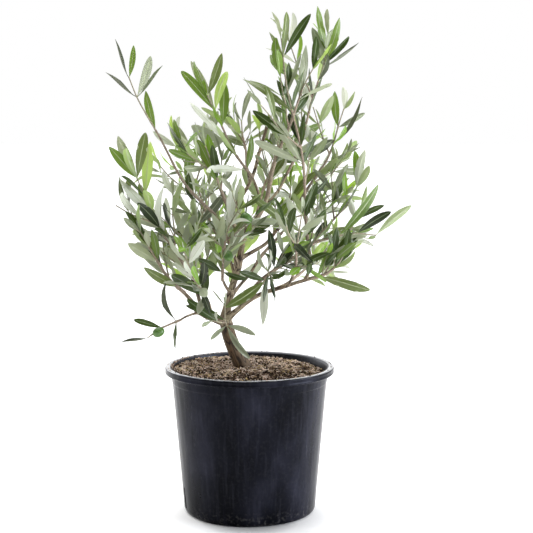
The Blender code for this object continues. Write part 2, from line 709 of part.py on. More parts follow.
def keep_largest(item):
    """Drop loose scraps and the walls of sealed hollows, leaving the one outer body."""
    work = bmesh.new()
    work.from_mesh(item.data)
    bmesh.ops.remove_doubles(work, verts=work.verts, dist=MERGE)
    bmesh.ops.dissolve_degenerate(work, edges=work.edges, dist=MERGE)
    left = set(work.faces)
    islands = []
    while left:
        front = [left.pop()]
        island = list(front)
        while front:
            for edge in front.pop().edges:
                for face in edge.link_faces:
                    if face in left:
                        left.remove(face)
                        island.append(face)
                        front.append(face)
        islands.append(island)
    islands.sort(key=len, reverse=True)
    for island in islands[1:]:
        bmesh.ops.delete(work, geom=island, context="FACES")
    loose = [vert for vert in work.verts if not vert.link_faces]
    bmesh.ops.delete(work, geom=loose, context="VERTS")
    work.to_mesh(item.data)
    work.free()


def cut_clear(item, shapes):
    """Cut a limb's foot to the shape of each limb that it meets, the gap clear."""
    for number, (verts, faces) in enumerate(shapes):
        cutter = add_object(f"cutter_{number}", verts, faces, item.data.materials[0])
        cut = item.modifiers.new("clear", "BOOLEAN")
        cut.operation = "DIFFERENCE"
        cut.solver = "EXACT"
        cut.object = cutter
        apply_modifiers(item)
        bpy.data.objects.remove(cutter, do_unlink=True)
    keep_largest(item)


def union_of(name, shapes, finish):
    """Make one solid from a stem and all that is sunk in it."""
    base = add_object(name, *shapes[0], finish)
    group = bpy.data.collections.new(f"{name}_pieces")
    bpy.context.scene.collection.children.link(group)
    pieces = []
    for number, shape in enumerate(shapes[1:]):
        piece = add_object(f"{name}_piece_{number}", *shape, finish)
        bpy.context.scene.collection.objects.unlink(piece)
        group.objects.link(piece)
        pieces.append(piece)
    if pieces:
        join = base.modifiers.new("join", "BOOLEAN")
        join.operation = "UNION"
        join.operand_type = "COLLECTION"
        join.solver = "EXACT"
        join.collection = group
        apply_modifiers(base)
    for piece in pieces:
        bpy.data.objects.remove(piece, do_unlink=True)
    bpy.data.collections.remove(group)
    keep_largest(base)


def lathe(name, profile, sides, finish):
    """A closed ring or disc turned about +Z from a profile of radius and height."""
    verts = []
    rings = []
    for radius, height in profile:
        if radius == 0:
            rings.append([len(verts)] * sides)
            verts.append(Vector((0, 0, height)))
            continue
        rings.append([len(verts) + step for step in range(sides)])
        for step in range(sides):
            angle = math.tau * step / sides
            verts.append(Vector((radius * math.cos(angle), radius * math.sin(angle), height)))
    faces = []
    for low, high in zip(rings, rings[1:] + rings[:1]):
        for step in range(sides):
            following = (step + 1) % sides
            corners = [low[step], low[following], high[following], high[step]]
            face = list(dict.fromkeys(corners))
            if len(face) > 2:
                faces.append(tuple(face))
    return add_object(name, verts, faces, finish)


def wall_radius(height):
    """The pot's outer radius at a height, below the rim."""
    return BASE_RADIUS + (TOP_RADIUS - BASE_RADIUS) * height / POT_HEIGHT


def add_pot(finish):
    """The pot: tapering wall, rolled rim, recessed floor with drain holes, and two side slots."""
    under_rim = POT_HEIGHT - RIM_DEPTH
    ring_inner = BASE_RADIUS - BASE_BEVEL - FOOT_RING_WIDTH
    floor_top = RECESS + WALL
    profile = (
        (0, 0),
        (CENTRE_PAD_RADIUS, 0),
        (CENTRE_PAD_RADIUS + RECESS, RECESS),
        (ring_inner - RECESS, RECESS),
        (ring_inner, 0),
        (BASE_RADIUS - BASE_BEVEL, 0),
        (BASE_RADIUS - BASE_BEVEL * 0.3, BASE_BEVEL * 0.35),
        (wall_radius(BASE_BEVEL * 1.4), BASE_BEVEL * 1.4),
        (wall_radius(under_rim - 4 * MM), under_rim - 4 * MM),
        (wall_radius(under_rim) + 1.5 * MM, under_rim + 1 * MM),
        (RIM_RADIUS - 1.5 * MM, under_rim),
        (RIM_RADIUS, under_rim + 1.5 * MM),
        (RIM_RADIUS, POT_HEIGHT - RIM_ROLL),
        (RIM_RADIUS - RIM_ROLL * 0.35, POT_HEIGHT - RIM_ROLL * 0.3),
        (RIM_RADIUS - RIM_ROLL, POT_HEIGHT),
        (RIM_RADIUS - RIM_ROLL - 3 * MM, POT_HEIGHT),
        (RIM_RADIUS - 7.5 * MM, POT_HEIGHT - 2 * MM),
        (wall_radius(under_rim) - WALL, under_rim - 4 * MM),
        (wall_radius(floor_top + 3 * MM) - WALL, floor_top + 3 * MM),
        (wall_radius(floor_top) - WALL - 3 * MM, floor_top),
        (0, floor_top),
    )
    pot = lathe("pot", profile, POT_SIDES, finish)
    for cutter in drain_cutters(finish):
        cut = pot.modifiers.new("drain", "BOOLEAN")
        cut.operation = "DIFFERENCE"
        cut.solver = "EXACT"
        cut.object = cutter
        apply_modifiers(pot)
        bpy.data.objects.remove(cutter, do_unlink=True)
    return pot


def drain_cutters(finish):
    """Round cutters for the floor and tapering boxes for the slots low on both sides."""
    cutters = []
    turn = Matrix.Rotation(math.radians(SLOT_TURN), 3, UP)
    for number in range(DRAIN_HOLES):
        angle = math.tau * (number + 0.5) / DRAIN_HOLES
        centre = Vector((math.cos(angle), math.sin(angle), 0)) * DRAIN_RING_RADIUS
        path = [centre + UP * RECESS / 3, centre + UP * (RECESS + WALL * 2)]
        shape = tube(path, [DRAIN_HOLE_RADIUS] * 2, DRAIN_HOLE_SIDES)
        cutters.append(add_object(f"drain_cutter_{number}", *shape, finish))
    for way in (-1, 1):
        inner = way * (wall_radius(SLOT_FOOT) - WALL * 4)
        outer = way * (wall_radius(SLOT_TOP) + WALL)
        half = SLOT_WIDTH / 2
        verts = []
        for x in (inner, outer):
            for y, z in ((-half, SLOT_FOOT), (half, SLOT_FOOT), (half * SLOT_TAPER, SLOT_TOP),
                         (-half * SLOT_TAPER, SLOT_TOP)):
                verts.append(turn @ Vector((x, y, z)))
        faces = [(0, 3, 2, 1), (4, 5, 6, 7), (0, 1, 5, 4), (1, 2, 6, 5), (2, 3, 7, 6), (3, 0, 4, 7)]
        if way < 0:
            faces = [tuple(reversed(face)) for face in faces]
        cutters.append(add_object(f"slot_cutter_{way}", verts, faces, finish))
    return cutters


def add_soil(finish):
    """The compost that fills the pot, gently domed, with a flat where the trunk stands."""
    foot = RECESS + WALL + GAP
    under_rim = POT_HEIGHT - RIM_DEPTH
    corner = foot + 3 * MM
    inner = wall_radius(under_rim) - WALL - GAP
    profile = (
        (0, foot),
        (wall_radius(foot) - WALL - 3 * MM - GAP * 2, foot),
        (wall_radius(corner) - WALL - GAP * 1.5, corner),
        (inner, under_rim - 4 * MM),
        (inner + 0.6 * MM, SOIL_EDGE),
        (inner - SOIL_EDGE_WIDTH, SOIL_EDGE + 1.2 * MM),
        (SOIL_FLAT_RADIUS + SOIL_SHOULDER_WIDTH, SOIL_TOP - 0.8 * MM),
        (SOIL_FLAT_RADIUS, SOIL_TOP),
        (0, SOIL_TOP),
    )
    return lathe("soil", profile, POT_SIDES, finish)


def add_trunk(limb, finish):
    """The trunk's solid, flat at ground level."""
    verts, faces = limb.shape()
    return add_object("trunk", flare_roots(verts), faces, finish)


def trunk_clearance(limb):
    """The trunk's outline swollen by the gap, which the boughs are cut to."""
    verts, faces = limb.shape(GAP)
    return flare_roots(verts), faces


def add_boughs(limbs, finish):
    """Every bough, its foot cut to fit what carries it."""
    clearances = {"trunk": trunk_clearance(limbs["trunk"])}
    for row in BOUGHS:
        limb = limbs[row.name]
        verts, faces = limb.shape()
        probe = Solid(row.name, verts, faces)
        met = []
        for name, shape in clearances.items():
            if row.place == 1.0 and name == row.carrier != "trunk":
                continue
            if probe.meets(Solid(name, *shape)):
                met.append(shape)
        bough = add_object(row.name, verts, faces, finish)
        cut_clear(bough, met)
        clearances[row.name] = limb.shape(GAP)


def add_foliage(limbs, finish):
    """Every foliage mass: all stems and olives first, then the twigs and leaves of each."""
    solids = [Solid("trunk", *trunk_clearance(limbs["trunk"]))]
    solids += [Solid(row.name, *limbs[row.name].shape()) for row in BOUGHS]
    stems = [stem_limb(row, number, limbs) for number, row in enumerate(MASSES)]
    fruit = {}
    for row, stem in zip(MASSES, stems):
        solids.append(Solid(row.name, *stem.shape()))
        fruit[row.name] = olives_of(row, stem)
        for stalk, centre, axis in fruit[row.name]:
            solids.append(Solid(row.name, *stalk.shape()))
            solids.append(Solid(row.name, *olive_shape(centre, axis)))

    for number, (row, stem) in enumerate(zip(MASSES, stems)):
        twigs, leaves = grow_mass(row, number, stem, solids)
        shapes = [stem.shape()]
        shapes += [twig.shape() for twig in twigs]
        shapes += [leaf_shape(leaf) for leaf in leaves]
        for stalk, centre, axis in fruit[row.name]:
            shapes.append(stalk.shape())
            shapes.append(olive_shape(centre, axis))
        union_of(row.name, shapes, finish)


def main():
    clear_scene()
    finishes = {
        "pot": material("pot_plastic", (0.016, 0.017, 0.022), 0.42),
        "soil": material("compost", (0.16, 0.10, 0.06), 0.95),
        "bark": material("bark", (0.23, 0.17, 0.12), 0.8),
        "leaf": material("leaf", (0.10, 0.22, 0.04), 0.5),
    }
    add_pot(finishes["pot"])
    add_soil(finishes["soil"])
    trunk = trunk_limb()
    add_trunk(trunk, finishes["bark"])
    limbs = bough_limbs(trunk)
    add_boughs(limbs, finishes["bark"])
    add_foliage(limbs, finishes["leaf"])


main()
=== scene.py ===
"""Looks of an olive bonsai in a round plastic nursery pot.

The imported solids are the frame.  Each foliage mass grows here again by the rule and the seeds
of its solid, with leaves in their own outline, and is carried on to finer twigs.  One bark mesh
stands for the trunk and boughs, and finer meshes stand for the pot and the compost.
"""
import math
import random
from collections import namedtuple

import bmesh
import bpy
import numpy as np
from mathutils import Matrix, Vector, noise
from mathutils.bvhtree import BVHTree
from mathutils.kdtree import KDTree


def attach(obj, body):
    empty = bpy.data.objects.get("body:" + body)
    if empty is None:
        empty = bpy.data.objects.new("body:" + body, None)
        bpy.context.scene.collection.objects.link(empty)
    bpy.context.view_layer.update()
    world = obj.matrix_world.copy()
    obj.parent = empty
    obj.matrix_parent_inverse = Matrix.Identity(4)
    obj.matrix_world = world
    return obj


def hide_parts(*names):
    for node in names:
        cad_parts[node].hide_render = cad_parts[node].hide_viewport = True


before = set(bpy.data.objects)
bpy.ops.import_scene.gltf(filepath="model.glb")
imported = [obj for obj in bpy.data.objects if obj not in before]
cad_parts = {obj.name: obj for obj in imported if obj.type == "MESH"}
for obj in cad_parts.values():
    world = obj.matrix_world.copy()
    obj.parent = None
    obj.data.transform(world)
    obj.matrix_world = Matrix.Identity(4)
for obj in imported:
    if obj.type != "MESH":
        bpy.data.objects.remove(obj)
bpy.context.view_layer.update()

MM = 0.001
GAP = 0.3 * MM
UP = Vector((0, 0, 1))
FRONT = Vector((0, -1, 0))
SEED = 41
BOUGH_SEED = SEED + 100
STEM_SEED = SEED + 200
GROWTH_SEED = SEED + 300

# Pot
POT_HEIGHT = 208.4 * MM
RIM_RADIUS = 120 * MM
RIM_DEPTH = 10 * MM
RIM_ROLL = 2.2 * MM
WALL = 2 * MM
TOP_RADIUS = 111.5 * MM
BASE_RADIUS = 93.2 * MM
BASE_BEVEL = 4 * MM
FOOT_RING_WIDTH = 10 * MM
CENTRE_PAD_RADIUS = 30 * MM
RECESS = 3 * MM
DRAIN_HOLES = 6
DRAIN_HOLE_RADIUS = 5 * MM
DRAIN_RING_RADIUS = 56 * MM
SLOT_WIDTH = 8 * MM
SLOT_FOOT = 8 * MM
SLOT_TOP = 38 * MM
SLOT_TURN = 17
SLOT_TAPER = 0.7

RIM_GLOSS_FROM = POT_HEIGHT - 1.2 * MM
INSIDE_FROM = POT_HEIGHT - 30 * MM
FOOT_DUST = 22 * MM
WALL_RINGS = 12
POT_SIDES = 160
DRAIN_SIDES = 32
POT_CORNER = 1.2 * MM
CORNER_STEPS = 3
CORNER_SHARE = 0.4
POT_SHARP = 38

# Below the rim, how deep the plain wall ends and the raised band starts and ends, how far the
# band stands out, then the lip and the waist of the rim, and the corners inside
WALL_DROP = 13 * MM
BAND_DROPS = (12 * MM, 4 * MM)
BAND_RISE = 0.5 * MM
RIM_LIP = 1.5 * MM
RIM_WAIST = 0.6 * MM
RIM_INNER = 6.6 * MM
RIM_STEP = 2 * MM
FLOOR_CORNER = 3 * MM

# Compost
SOIL_EDGE = 202.5 * MM
SOIL_TOP = 206 * MM
SOIL_SIDES = 200
SOIL_RINGS = 90
DOME_POWER = 2.2
TILT_POWER = 4
WALL_DIP = 1.6 * MM
WALL_DIP_WIDTH = 6 * MM

# Trunk
TRUNK_FOOT = Vector((-9, 0, 206.3)) * MM
TRUNK_TIP = Vector((-33, 0, 269)) * MM
TRUNK_BOW = Vector((-4, 0, 2)) * MM
TRUNK_FOOT_RADIUS = 10.8 * MM
TRUNK_TIP_RADIUS = 9.2 * MM
FLARE = 5 * MM
FLARE_HEIGHT = 9 * MM
FLARE_ROOTS = 5
FLARE_TURN = 0.6
FLARE_FALL = 1.3
FLARE_LEVELS = (0.65, 0.35)
TRUNK_SIDES = 16
TRUNK_RINGS = 11
TRUNK_CROWN = ((4.0 * MM, 0.86), (7.0 * MM, 0.52))

# Limbs and foliage
BOUGH_SIDES = 6
BOUGH_STEP = 24 * MM
WANDER = 0.018
WANDER_TURNS = 1.1
STEM_SIDES = 3
STEM_STEP = 26 * MM
STEM_TIP_RADIUS = 0.75 * MM
TWIG_SIDES = 3
TWIG_RADIUS = 1.15 * MM
TWIG_TIP_RADIUS = 0.7 * MM
TWIG_STEP = 24 * MM
TWIG_SAG = 0.04
TWIG_FIRST = 0.12
TWIG_SPREAD = 0.55
TWIG_TURN = 137.5
TWIG_RETRY_TURN = 60
TWIG_TRIES = 6
TWIG_SHARE = (0.42, 0.6)
TWIG_SHORTEST = 34 * MM
TWIG_LONGEST = 85 * MM
TWIG_FOOT = 0.18
TWIG_JITTER = (0.2, 0.8)
TWIG_HEADING = (0.75, 0.75, 0.2)

# Leaves
INTERNODE = 24 * MM
STEM_FIRST_PAIR = 0.10
TWIG_FIRST_PAIR = 0.32
PAIR_TURN = 90
LEAF_WIDTH = 0.215
LEAF_WIDEST = 13 * MM
LEAF_THICKNESS = 0.016
LEAF_LEAST = 0.7 * MM
LEAF_STATIONS = (0.32, 0.70)
LEAF_FULLNESS = (1.0, 0.86)
LEAF_RIDGE = 0.52
LEAF_FOOT = 0.12
LEAF_ANGLES = (32, 62)
LEAF_CLOSING = 14
LEAF_LIFT = 0.06
LEAF_LENGTHS = (0.78, 1.18)
LEAF_WIDTHS = (0.88, 1.12)
LEAF_BENDS = (-0.14, 0.10)
LEAF_TRIES = 4
LEAF_SWING = 0.5
LEAF_FACING = (0.45, 0.3)
LAST_NODE = 0.995
FOOT_LENGTH = 1.06
TIP_SHORTENING = 0.28
OUTER_LENGTH = 1.12
OUTER_BENDS = (-0.1, 0.1)
OUTER_TURNS = (0, 25, -25, 50, -50)
LEAST_LEAN = 0.75
LEAN_WEIGHT = 1.2
EDGE_ON_TURN = 75
EDGE_ON_BEND = 0.3
SAME_NODE = 1 * MM
SAME_WAY = 0.2
ROOT_SINK = 0.15 * MM
CLEARANCE = 0.35 * MM

# Olives
OLIVE_LENGTH = 17.5 * MM
OLIVE_WIDTH = 13.5 * MM
OLIVE_SIDES = 8
OLIVE_RINGS = (-0.62, 0.0, 0.62)
STALK_RADIUS = 0.8 * MM
STALK_REACH = 0.75
STALK_PLACES = 40
STALK_FIRST_PLACE = 8

Bough = namedtuple("Bough", "name carrier place tip bow foot_radius tip_radius")
Mass = namedtuple("Mass", "name tip bow twigs leaf fullness roll group spray finer width tips")
Growth = namedtuple("Growth", "row stem olives twigs leaves fine_twigs fine_leaves")
Node = namedtuple("Node", "point along side place")
Leaf = namedtuple("Leaf", "root along face length width bend")
LeafLook = namedtuple("LeafLook", "fold roll twist ripple phase curl sweep tip width tint")

# Boughs: carrier, place along it, tip and bow in millimetres, foot and tip radius
BOUGHS = (
    Bough("left", "trunk", 0.88, (-74, -8, 287), (0, 0, -2), 5.0, 3.8),
    Bough("left_low", "left", 0.90, (-97, -30, 277), (0, 0, 2), 1.9, 1.5),
    Bough("left_outer", "left", 1.0, (-92, -18, 315), (2, 0, 1), 3.1, 2.4),
    Bough("left_upper", "left", 0.80, (-90, -8, 350), (3, 3, 0), 3.0, 2.2),
    Bough("left_inner", "left", 0.58, (-64, 16, 322), (-2, 2, 1), 2.7, 2.0),
    Bough("left_back", "left", 0.42, (-68, 40, 308), (2, 4, -3), 2.5, 2.0),
    Bough("left_front", "left", 0.50, (-58, -34, 306), (2, -4, -3), 2.3, 1.9),
    Bough("central", "trunk", 1.0, (-8, 5, 396), (1, 0, 0), 5.4, 4.2),
    Bough("centre_right", "central", 1.0, (26, 11, 450), (5, 0, -2), 3.9, 2.9),
    Bough("centre_left", "central", 0.93, (-31, -4, 436), (-4, -2, 0), 3.2, 2.4),
    Bough("top_centre", "centre_left", 0.70, (27, 12, 553), (6, 3, -4), 2.6, 2.3),
    Bough("upper_centre", "top_centre", 0.40, (-4, 26, 490), (0, 2, -2), 2.0, 1.7),
    Bough("upper_left", "centre_right", 0.60, (4, -12, 476), (3, -2, 1), 2.2, 1.8),
    Bough("far_left", "central", 0.60, (-48, -20, 424), (3, -3, 1), 2.4, 1.9),
    Bough("back_left", "central", 0.48, (-46, 44, 388), (2, 4, 1), 2.4, 2.0),
    Bough("front_left", "central", 0.30, (-37, -30, 335), (0, -4, -2), 2.3, 1.8),
    Bough("right_back", "central", 0.70, (38, 20, 398), (3, 1, -4), 2.8, 2.3),
    Bough("right_top", "right_back", 1.0, (72, 36, 440), (2, 0, -2), 2.3, 2.0),
    Bough("back_centre", "central", 0.82, (12, 38, 428), (0, 4, -2), 2.3, 1.9),
    Bough("top_right", "centre_right", 0.62, (54, 28, 480), (2, 3, -4), 2.2, 1.9),
    Bough("right", "trunk", 0.93, (88, -45, 338), (-4, -3, 9), 3.9, 2.3),
    Bough("right_front", "right", 0.92, (84, -49, 366), (2, -1, 0), 2.2, 2.0),
    Bough("upper_right", "right", 0.20, (62, -3, 362), (-4, 2, 6), 2.8, 2.2),
    Bough("right_mid", "upper_right", 0.82, (88, -14, 384), (2, -2, -1), 2.0, 1.7),
    Bough("front", "upper_right", 0.42, (20, -32, 330), (-2, -3, -1), 2.0, 1.7),
    Bough("back", "trunk", 0.96, (-24, 38, 318), (0, 4, -3), 3.2, 2.5),
    Bough("back_right", "back", 0.70, (12, 58, 352), (0, 4, -3), 2.5, 2.1),
    Bough("right_low", "right", 0.55, (62, 10, 330), (0, 3, -2), 2.2, 1.8),
    Bough("front_right", "right", 0.72, (60, -64, 344), (0, -4, -2), 2.1, 1.8),
)

# Foliage masses, each on the bough of its name, and low_front on the trunk: stem tip and bow in
# millimetres, side twigs, usual leaf length, share of the seeded leaves that grow, turn of the
# first pair in degrees, the group that its leaves are joined in, its kind of spray, the share of
# its nodes with a finer twig, how wide its leaves are against those of its solid, and the furthest
# leaf tips.  A tip has the turn of its blade from facing the front, and where they are stated, the
# leaf's tint and the side that it shows to the front; the other leaves take a tint of the spray.
MASSES = (
    Mass("left_low", (-139, -48, 256), (0, 0, 3), 0, 36, 0.3, 60, "left", "tall", 0.0, 1.0,
         ((-158, -50, 281, 20, "deep top"), (-176, -48, 252, 80), (-158, -50, 240, 70, "deep under"),
          (-104, -45, 239, 40, "deep top"), (-117, -42, 330, 85))),
    Mass("left_outer", (-148, -50, 402), (-4, 0, -4), 1, 50, 0.8, 30, "left", "silver", 0.2, 1.15,
         ((-166, -50, 431, 65, "deep top"), (-158, -55, 416, 25, "green under"),
          (-134, -40, 405, 10, "green top"), (-164, -60, 387, 15, "olive under"),
          (-124, -50, 331, 40, "deep top"), (-140, -58, 352, 10, "olive top"))),
    Mass("left_upper", (-154, -30, 474), (-3, 0, -3), 2, 58, 0.8, 10, "left", "silver", 0.2, 1.15,
         ((-192, -30, 518, 10, "green top"), (-182, -18, 531, 30, "olive under"),
          (-141, -30, 536, 15, "olive top"), (-140, 4, 521, 5, "young under"),
          (-179, -40, 473, 35, "silver under"), (-150, -52, 440, 10, "ink top"))),
    Mass("left_inner", (-82, 30, 440), (-2, 0, 0), 3, 60, 0.85, 0, "left", "mixed", 0.4, 1.05, ()),
    Mass("left_back", (-120, 104, 396), (0, 4, -6), 3, 60, 0.8, 40, "left", "bright", 0.4, 1.1, ()),
    Mass("left_front", (-86, -104, 382), (0, -4, -5), 2, 58, 0.8, 70, "left", "silver", 0.3, 1.2,
         ((-106, -66, 344, 20, "deep top"), (-58, -84, 352, 10, "deep top"))),
    Mass("centre_left", (-60, -24, 518), (-2, 0, 2), 2, 56, 0.85, 20, "middle", "leafy", 0.3, 1.0,
         ((-77, -25, 523, 15, "fresh top"), (-57, -20, 534, 30, "fresh top"),
          (-50, -34, 519, 5, "deep top"))),
    Mass("upper_centre", (-12, 62, 552), (0, 3, 2), 2, 56, 0.85, 50, "middle", "leafy", 0.4, 0.95,
         ()),
    Mass("upper_left", (-58, -6, 588), (-3, 2, -4), 1, 60, 0.65, 0, "middle", "leafy", 0.0, 1.05,
         ((-94, -5, 621, 10, "green top"), (-82, 6, 634, 20, "olive under"),
          (-38, 0, 646, 10, "olive top"), (-35, 8, 607, 20, "green top"),
          (-81, -12, 578, 35, "silver under"))),
    Mass("far_left", (-164, -28, 612), (-7, 2, -12), 0, 48, 0.15, 0, "left", "mixed", 0.0, 0.92,
         ((-178, -28, 663, 80), (-157, -24, 656, 10, "green top"), (-133, -32, 640, 30, "silver top"),
          (-191, -34, 621, 80), (-123, -20, 630, 75), (-141, -26, 594, 10, "green top"))),
    Mass("back_left", (-108, 98, 516), (0, 4, 0), 3, 58, 0.8, 25, "left", "bright", 0.4, 1.05,
         ((-121, 96, 559, 30, "young under"), (-105, 90, 546, 5, "olive under"))),
    Mass("front_left", (-14, -80, 434), (-8, -3, 0), 3, 58, 0.8, 45, "middle", "silver", 0.3, 1.1,
         ((-68, -62, 366, 20, "deep top"), (-2, -56, 338, 15, "deep top"),
          (-56, -76, 404, 10, "olive top"), (-22, -66, 472, 20, "silver under"))),
    Mass("right_top", (134, 42, 570), (6, 2, -4), 2, 58, 0.95, 15, "right", "leafy", 0.1, 1.0,
         ((150, 42, 618, 25, "olive under"), (156, 36, 586, 80), (165, 46, 571, 15, "olive top"),
          (163, 38, 556, 20, "olive under"), (122, 50, 596, 10, "green top"), (157, 40, 518, 80))),
    Mass("back_centre", (46, 94, 534), (0, 4, 0), 3, 60, 0.85, 35, "middle", "bright", 0.5, 1.0, ()),
    Mass("top_right", (110, 18, 672), (8, 2, 0), 2, 58, 0.85, 5, "right", "tall", 0.0, 1.05,
         ((94, 10, 711, 10, "green top"), (126, 18, 696, 30, "green top"),
          (140, 12, 668, 20, "deep top"), (151, 24, 661, 85))),
    Mass("centre_right", (88, -6, 624), (-6, -2, 4), 2, 60, 0.95, 50, "right", "tall", 0.15, 1.0,
         ((79, -4, 657, 30, "silver top"),)),
    Mass("right", (130, -58, 372), (4, 0, -6), 1, 52, 0.9, 20, "right", "tall", 0.3, 1.1,
         ((164, -62, 320, 20, "olive top"), (144, -60, 347, 30, "deep top"))),
    Mass("right_front", (44, -30, 664), (2, -4, 0), 2, 62, 0.7, 35, "right", "tall", 0.0, 1.0,
         ((-5, -38, 613, 10, "olive top"), (20, -30, 620, 15, "green top"),
          (31, -26, 674, 25, "olive top"), (29, -34, 699, 80), (54, -30, 700, 45, "olive top"),
          (84, -30, 697, 10, "deep top"), (38, -52, 553, 15, "olive under"),
          (2, -66, 452, 30, "olive top"), (8, -46, 525, 20, "olive under"),
          (104, -60, 432, 10, "deep top"))),
    Mass("upper_right", (151, 10, 460), (6, 2, -6), 2, 56, 0.8, 0, "right", "mixed", 0.4, 1.0,
         ((162, 8, 513, 10, "olive under"), (149, 14, 511, 10, "fresh top"))),
    Mass("right_mid", (177, -10, 394), (0, 0, 5), 1, 54, 0.75, 10, "right", "mixed", 0.1, 1.0,
         ((226, -10, 435, 15, "green under"), (197, -16, 427, 10, "ink top"),
          (180, -4, 464, 10, "green top"), (174, -10, 379, 40, "silver under"))),
    Mass("front", (46, -72, 374), (0, -3, -2), 2, 52, 0.9, 0, "middle", "shade", 0.2, 1.1,
         ((52, -66, 350, 20, "deep top"), (70, -66, 402, 10, "ink top"),
          (30, -66, 405, 30, "ink top"), (-10, -70, 350, 25, "deep top"),
          (-32, -62, 300, 20, "olive top"), (22, -58, 273, 35, "silver under"))),
    Mass("low_front", (-33, -50, 300), (0, -4, -8), 1, 52, 0.4, 0, "middle", "grey", 0.0, 0.98,
         ((-86, -46, 300, 15, "deep top"), (-2, -34, 224, 10, "silver top"),
          (10, -32, 257, 20, "silver top"), (-54, -36, 250, 30, "silver top"))),
    Mass("back", (-22, 120, 428), (0, 6, -4), 3, 60, 0.85, 30, "middle", "bright", 0.5, 1.1, ()),
    Mass("back_right", (92, 118, 462), (0, 4, -6), 3, 60, 0.8, 60, "right", "bright", 0.5, 1.05, ()),
    Mass("right_low", (122, 80, 380), (0, 4, -5), 2, 60, 0.85, 10, "right", "bright", 0.4, 1.1, ()),
    Mass("front_right", (70, -120, 430), (0, -4, -5), 2, 56, 0.8, 55, "right", "shade", 0.3, 1.1, ()),
)
GROUPS = ("left", "middle", "right")
SAME_TIP = 4 * MM

# Olives: the mass that bears each one and the place of its middle in millimetres
OLIVES = (("left_low", (-125, -47, 263)), ("front_left", (-3, -80, 423)),
          ("front_left", (-28, -68, 371)))

# The crown's outline from the front, in millimetres: height, furthest left and furthest right
CROWN_OUTLINE = (
    (224, -60, 10), (290, -110, 40), (320, -135, 165), (390, -168, 182), (435, -172, 228),
    (475, -184, 205), (525, -197, 172), (580, -170, 166), (650, -185, 156), (712, -185, 130),
)
CROWN_DEPTH = 172 * MM

# Where the low mass's stem leaves the trunk, along the trunk and to which side
TRUNK_STEM_PLACE = 0.80

# Finer growth: small twigs between the leaf pairs, and young leaves at the tips
FINE_SEED = SEED + 500
FINE_FIRST = 0.22
FINE_TRIES = 5
FINE_LENGTHS = (18 * MM, 40 * MM)
FINE_RADIUS = 0.75 * MM
FINE_TIP_RADIUS = 0.45 * MM
FINE_INTERNODE = 13 * MM
FINE_LEAVES = (30, 46)
TIP_LEAVES = (20, 32)
TIP_OPENING = 0.25
REACH = 20 * MM
REACH_PLACES = (0.1, 0.5, 1.0)
FINE_SWING = 0.6
FINE_HEADING = (0.8, 0.2)
FINE_SAG = 0.8
FINE_END = 0.99

# The tints of leaves: upper face, underside, light let through, and the share let through
TINTS = {
    "ink": ((0.014, 0.023, 0.008), (0.165, 0.185, 0.130), (0.26, 0.40, 0.10), 0.10),
    "deep": ((0.023, 0.043, 0.009), (0.235, 0.265, 0.175), (0.34, 0.50, 0.08), 0.20),
    "olive": ((0.078, 0.108, 0.033), (0.370, 0.395, 0.290), (0.50, 0.61, 0.18), 0.33),
    "green": ((0.057, 0.112, 0.020), (0.340, 0.385, 0.250), (0.46, 0.64, 0.11), 0.40),
    "silver": ((0.225, 0.248, 0.185), (0.690, 0.710, 0.635), (0.74, 0.79, 0.60), 0.36),
    "fresh": ((0.083, 0.180, 0.020), (0.350, 0.420, 0.225), (0.48, 0.72, 0.08), 0.46),
    "young": ((0.132, 0.252, 0.028), (0.400, 0.480, 0.205), (0.58, 0.82, 0.12), 0.56),
}
DARK_TINTS = ("ink", "deep")

# The tints of the leaves that show their edge at the shoot tips: matt, and nearly opaque
EDGE_TINTS = {
    "edge_green": ((0.060, 0.090, 0.030), (0.120, 0.140, 0.080), (0.30, 0.42, 0.12), 0.06),
    "edge_grey": ((0.080, 0.092, 0.062), (0.150, 0.162, 0.120), (0.34, 0.40, 0.22), 0.06),
    "edge_dark": ((0.040, 0.050, 0.026), (0.090, 0.100, 0.068), (0.26, 0.36, 0.12), 0.06),
}
UNDER_PASSED = (0.87, 0.89, 0.79)
SHEEN_TINT = (1.0, 1.0, 0.93, 1)

# The tints that each kind of spray draws from, by weight, in the order above; the dark tints of
# the shade spray on the front masses are painted shade, and the pale, young tints of the bright
# spray on the masses at the back are painted backlight
SPRAYS = {
    "shade": (5.6, 4, 0.9, 1.0, 4.6, 0.3, 0.2),
    "tall": (3.4, 4.4, 2.6, 2.8, 1.2, 0.5, 0.1),
    "mixed": (1.2, 2.4, 2.6, 3, 3.8, 1.3, 0.9),
    "leafy": (0.2, 1.6, 3.4, 4.2, 1.8, 1.4, 0.5),
    "bright": (0, 0.6, 2.0, 2.8, 3.4, 2.4, 2.2),
    "grey": (0.5, 3, 1.5, 0, 4.5, 0, 0),
    "silver": (2.4, 2, 2, 1.2, 5.6, 0.8, 0),
}

# The share of inward-facing leaves that turn their upper side out, by kind of spray
TURNED_OUT = {"shade": 0.97, "tall": 0.8, "mixed": 0.5, "leafy": 0.6, "bright": 0.3, "grey": 0.7,
              "silver": 0.25}
CROWN_AXIS = Vector((10, 0, 0)) * MM
TURNED_UP = 0.35

# What each tint but the darkest gains in weight towards the tip of a twig
YOUNGER = 0.4
YOUNG_FROM = 0.75

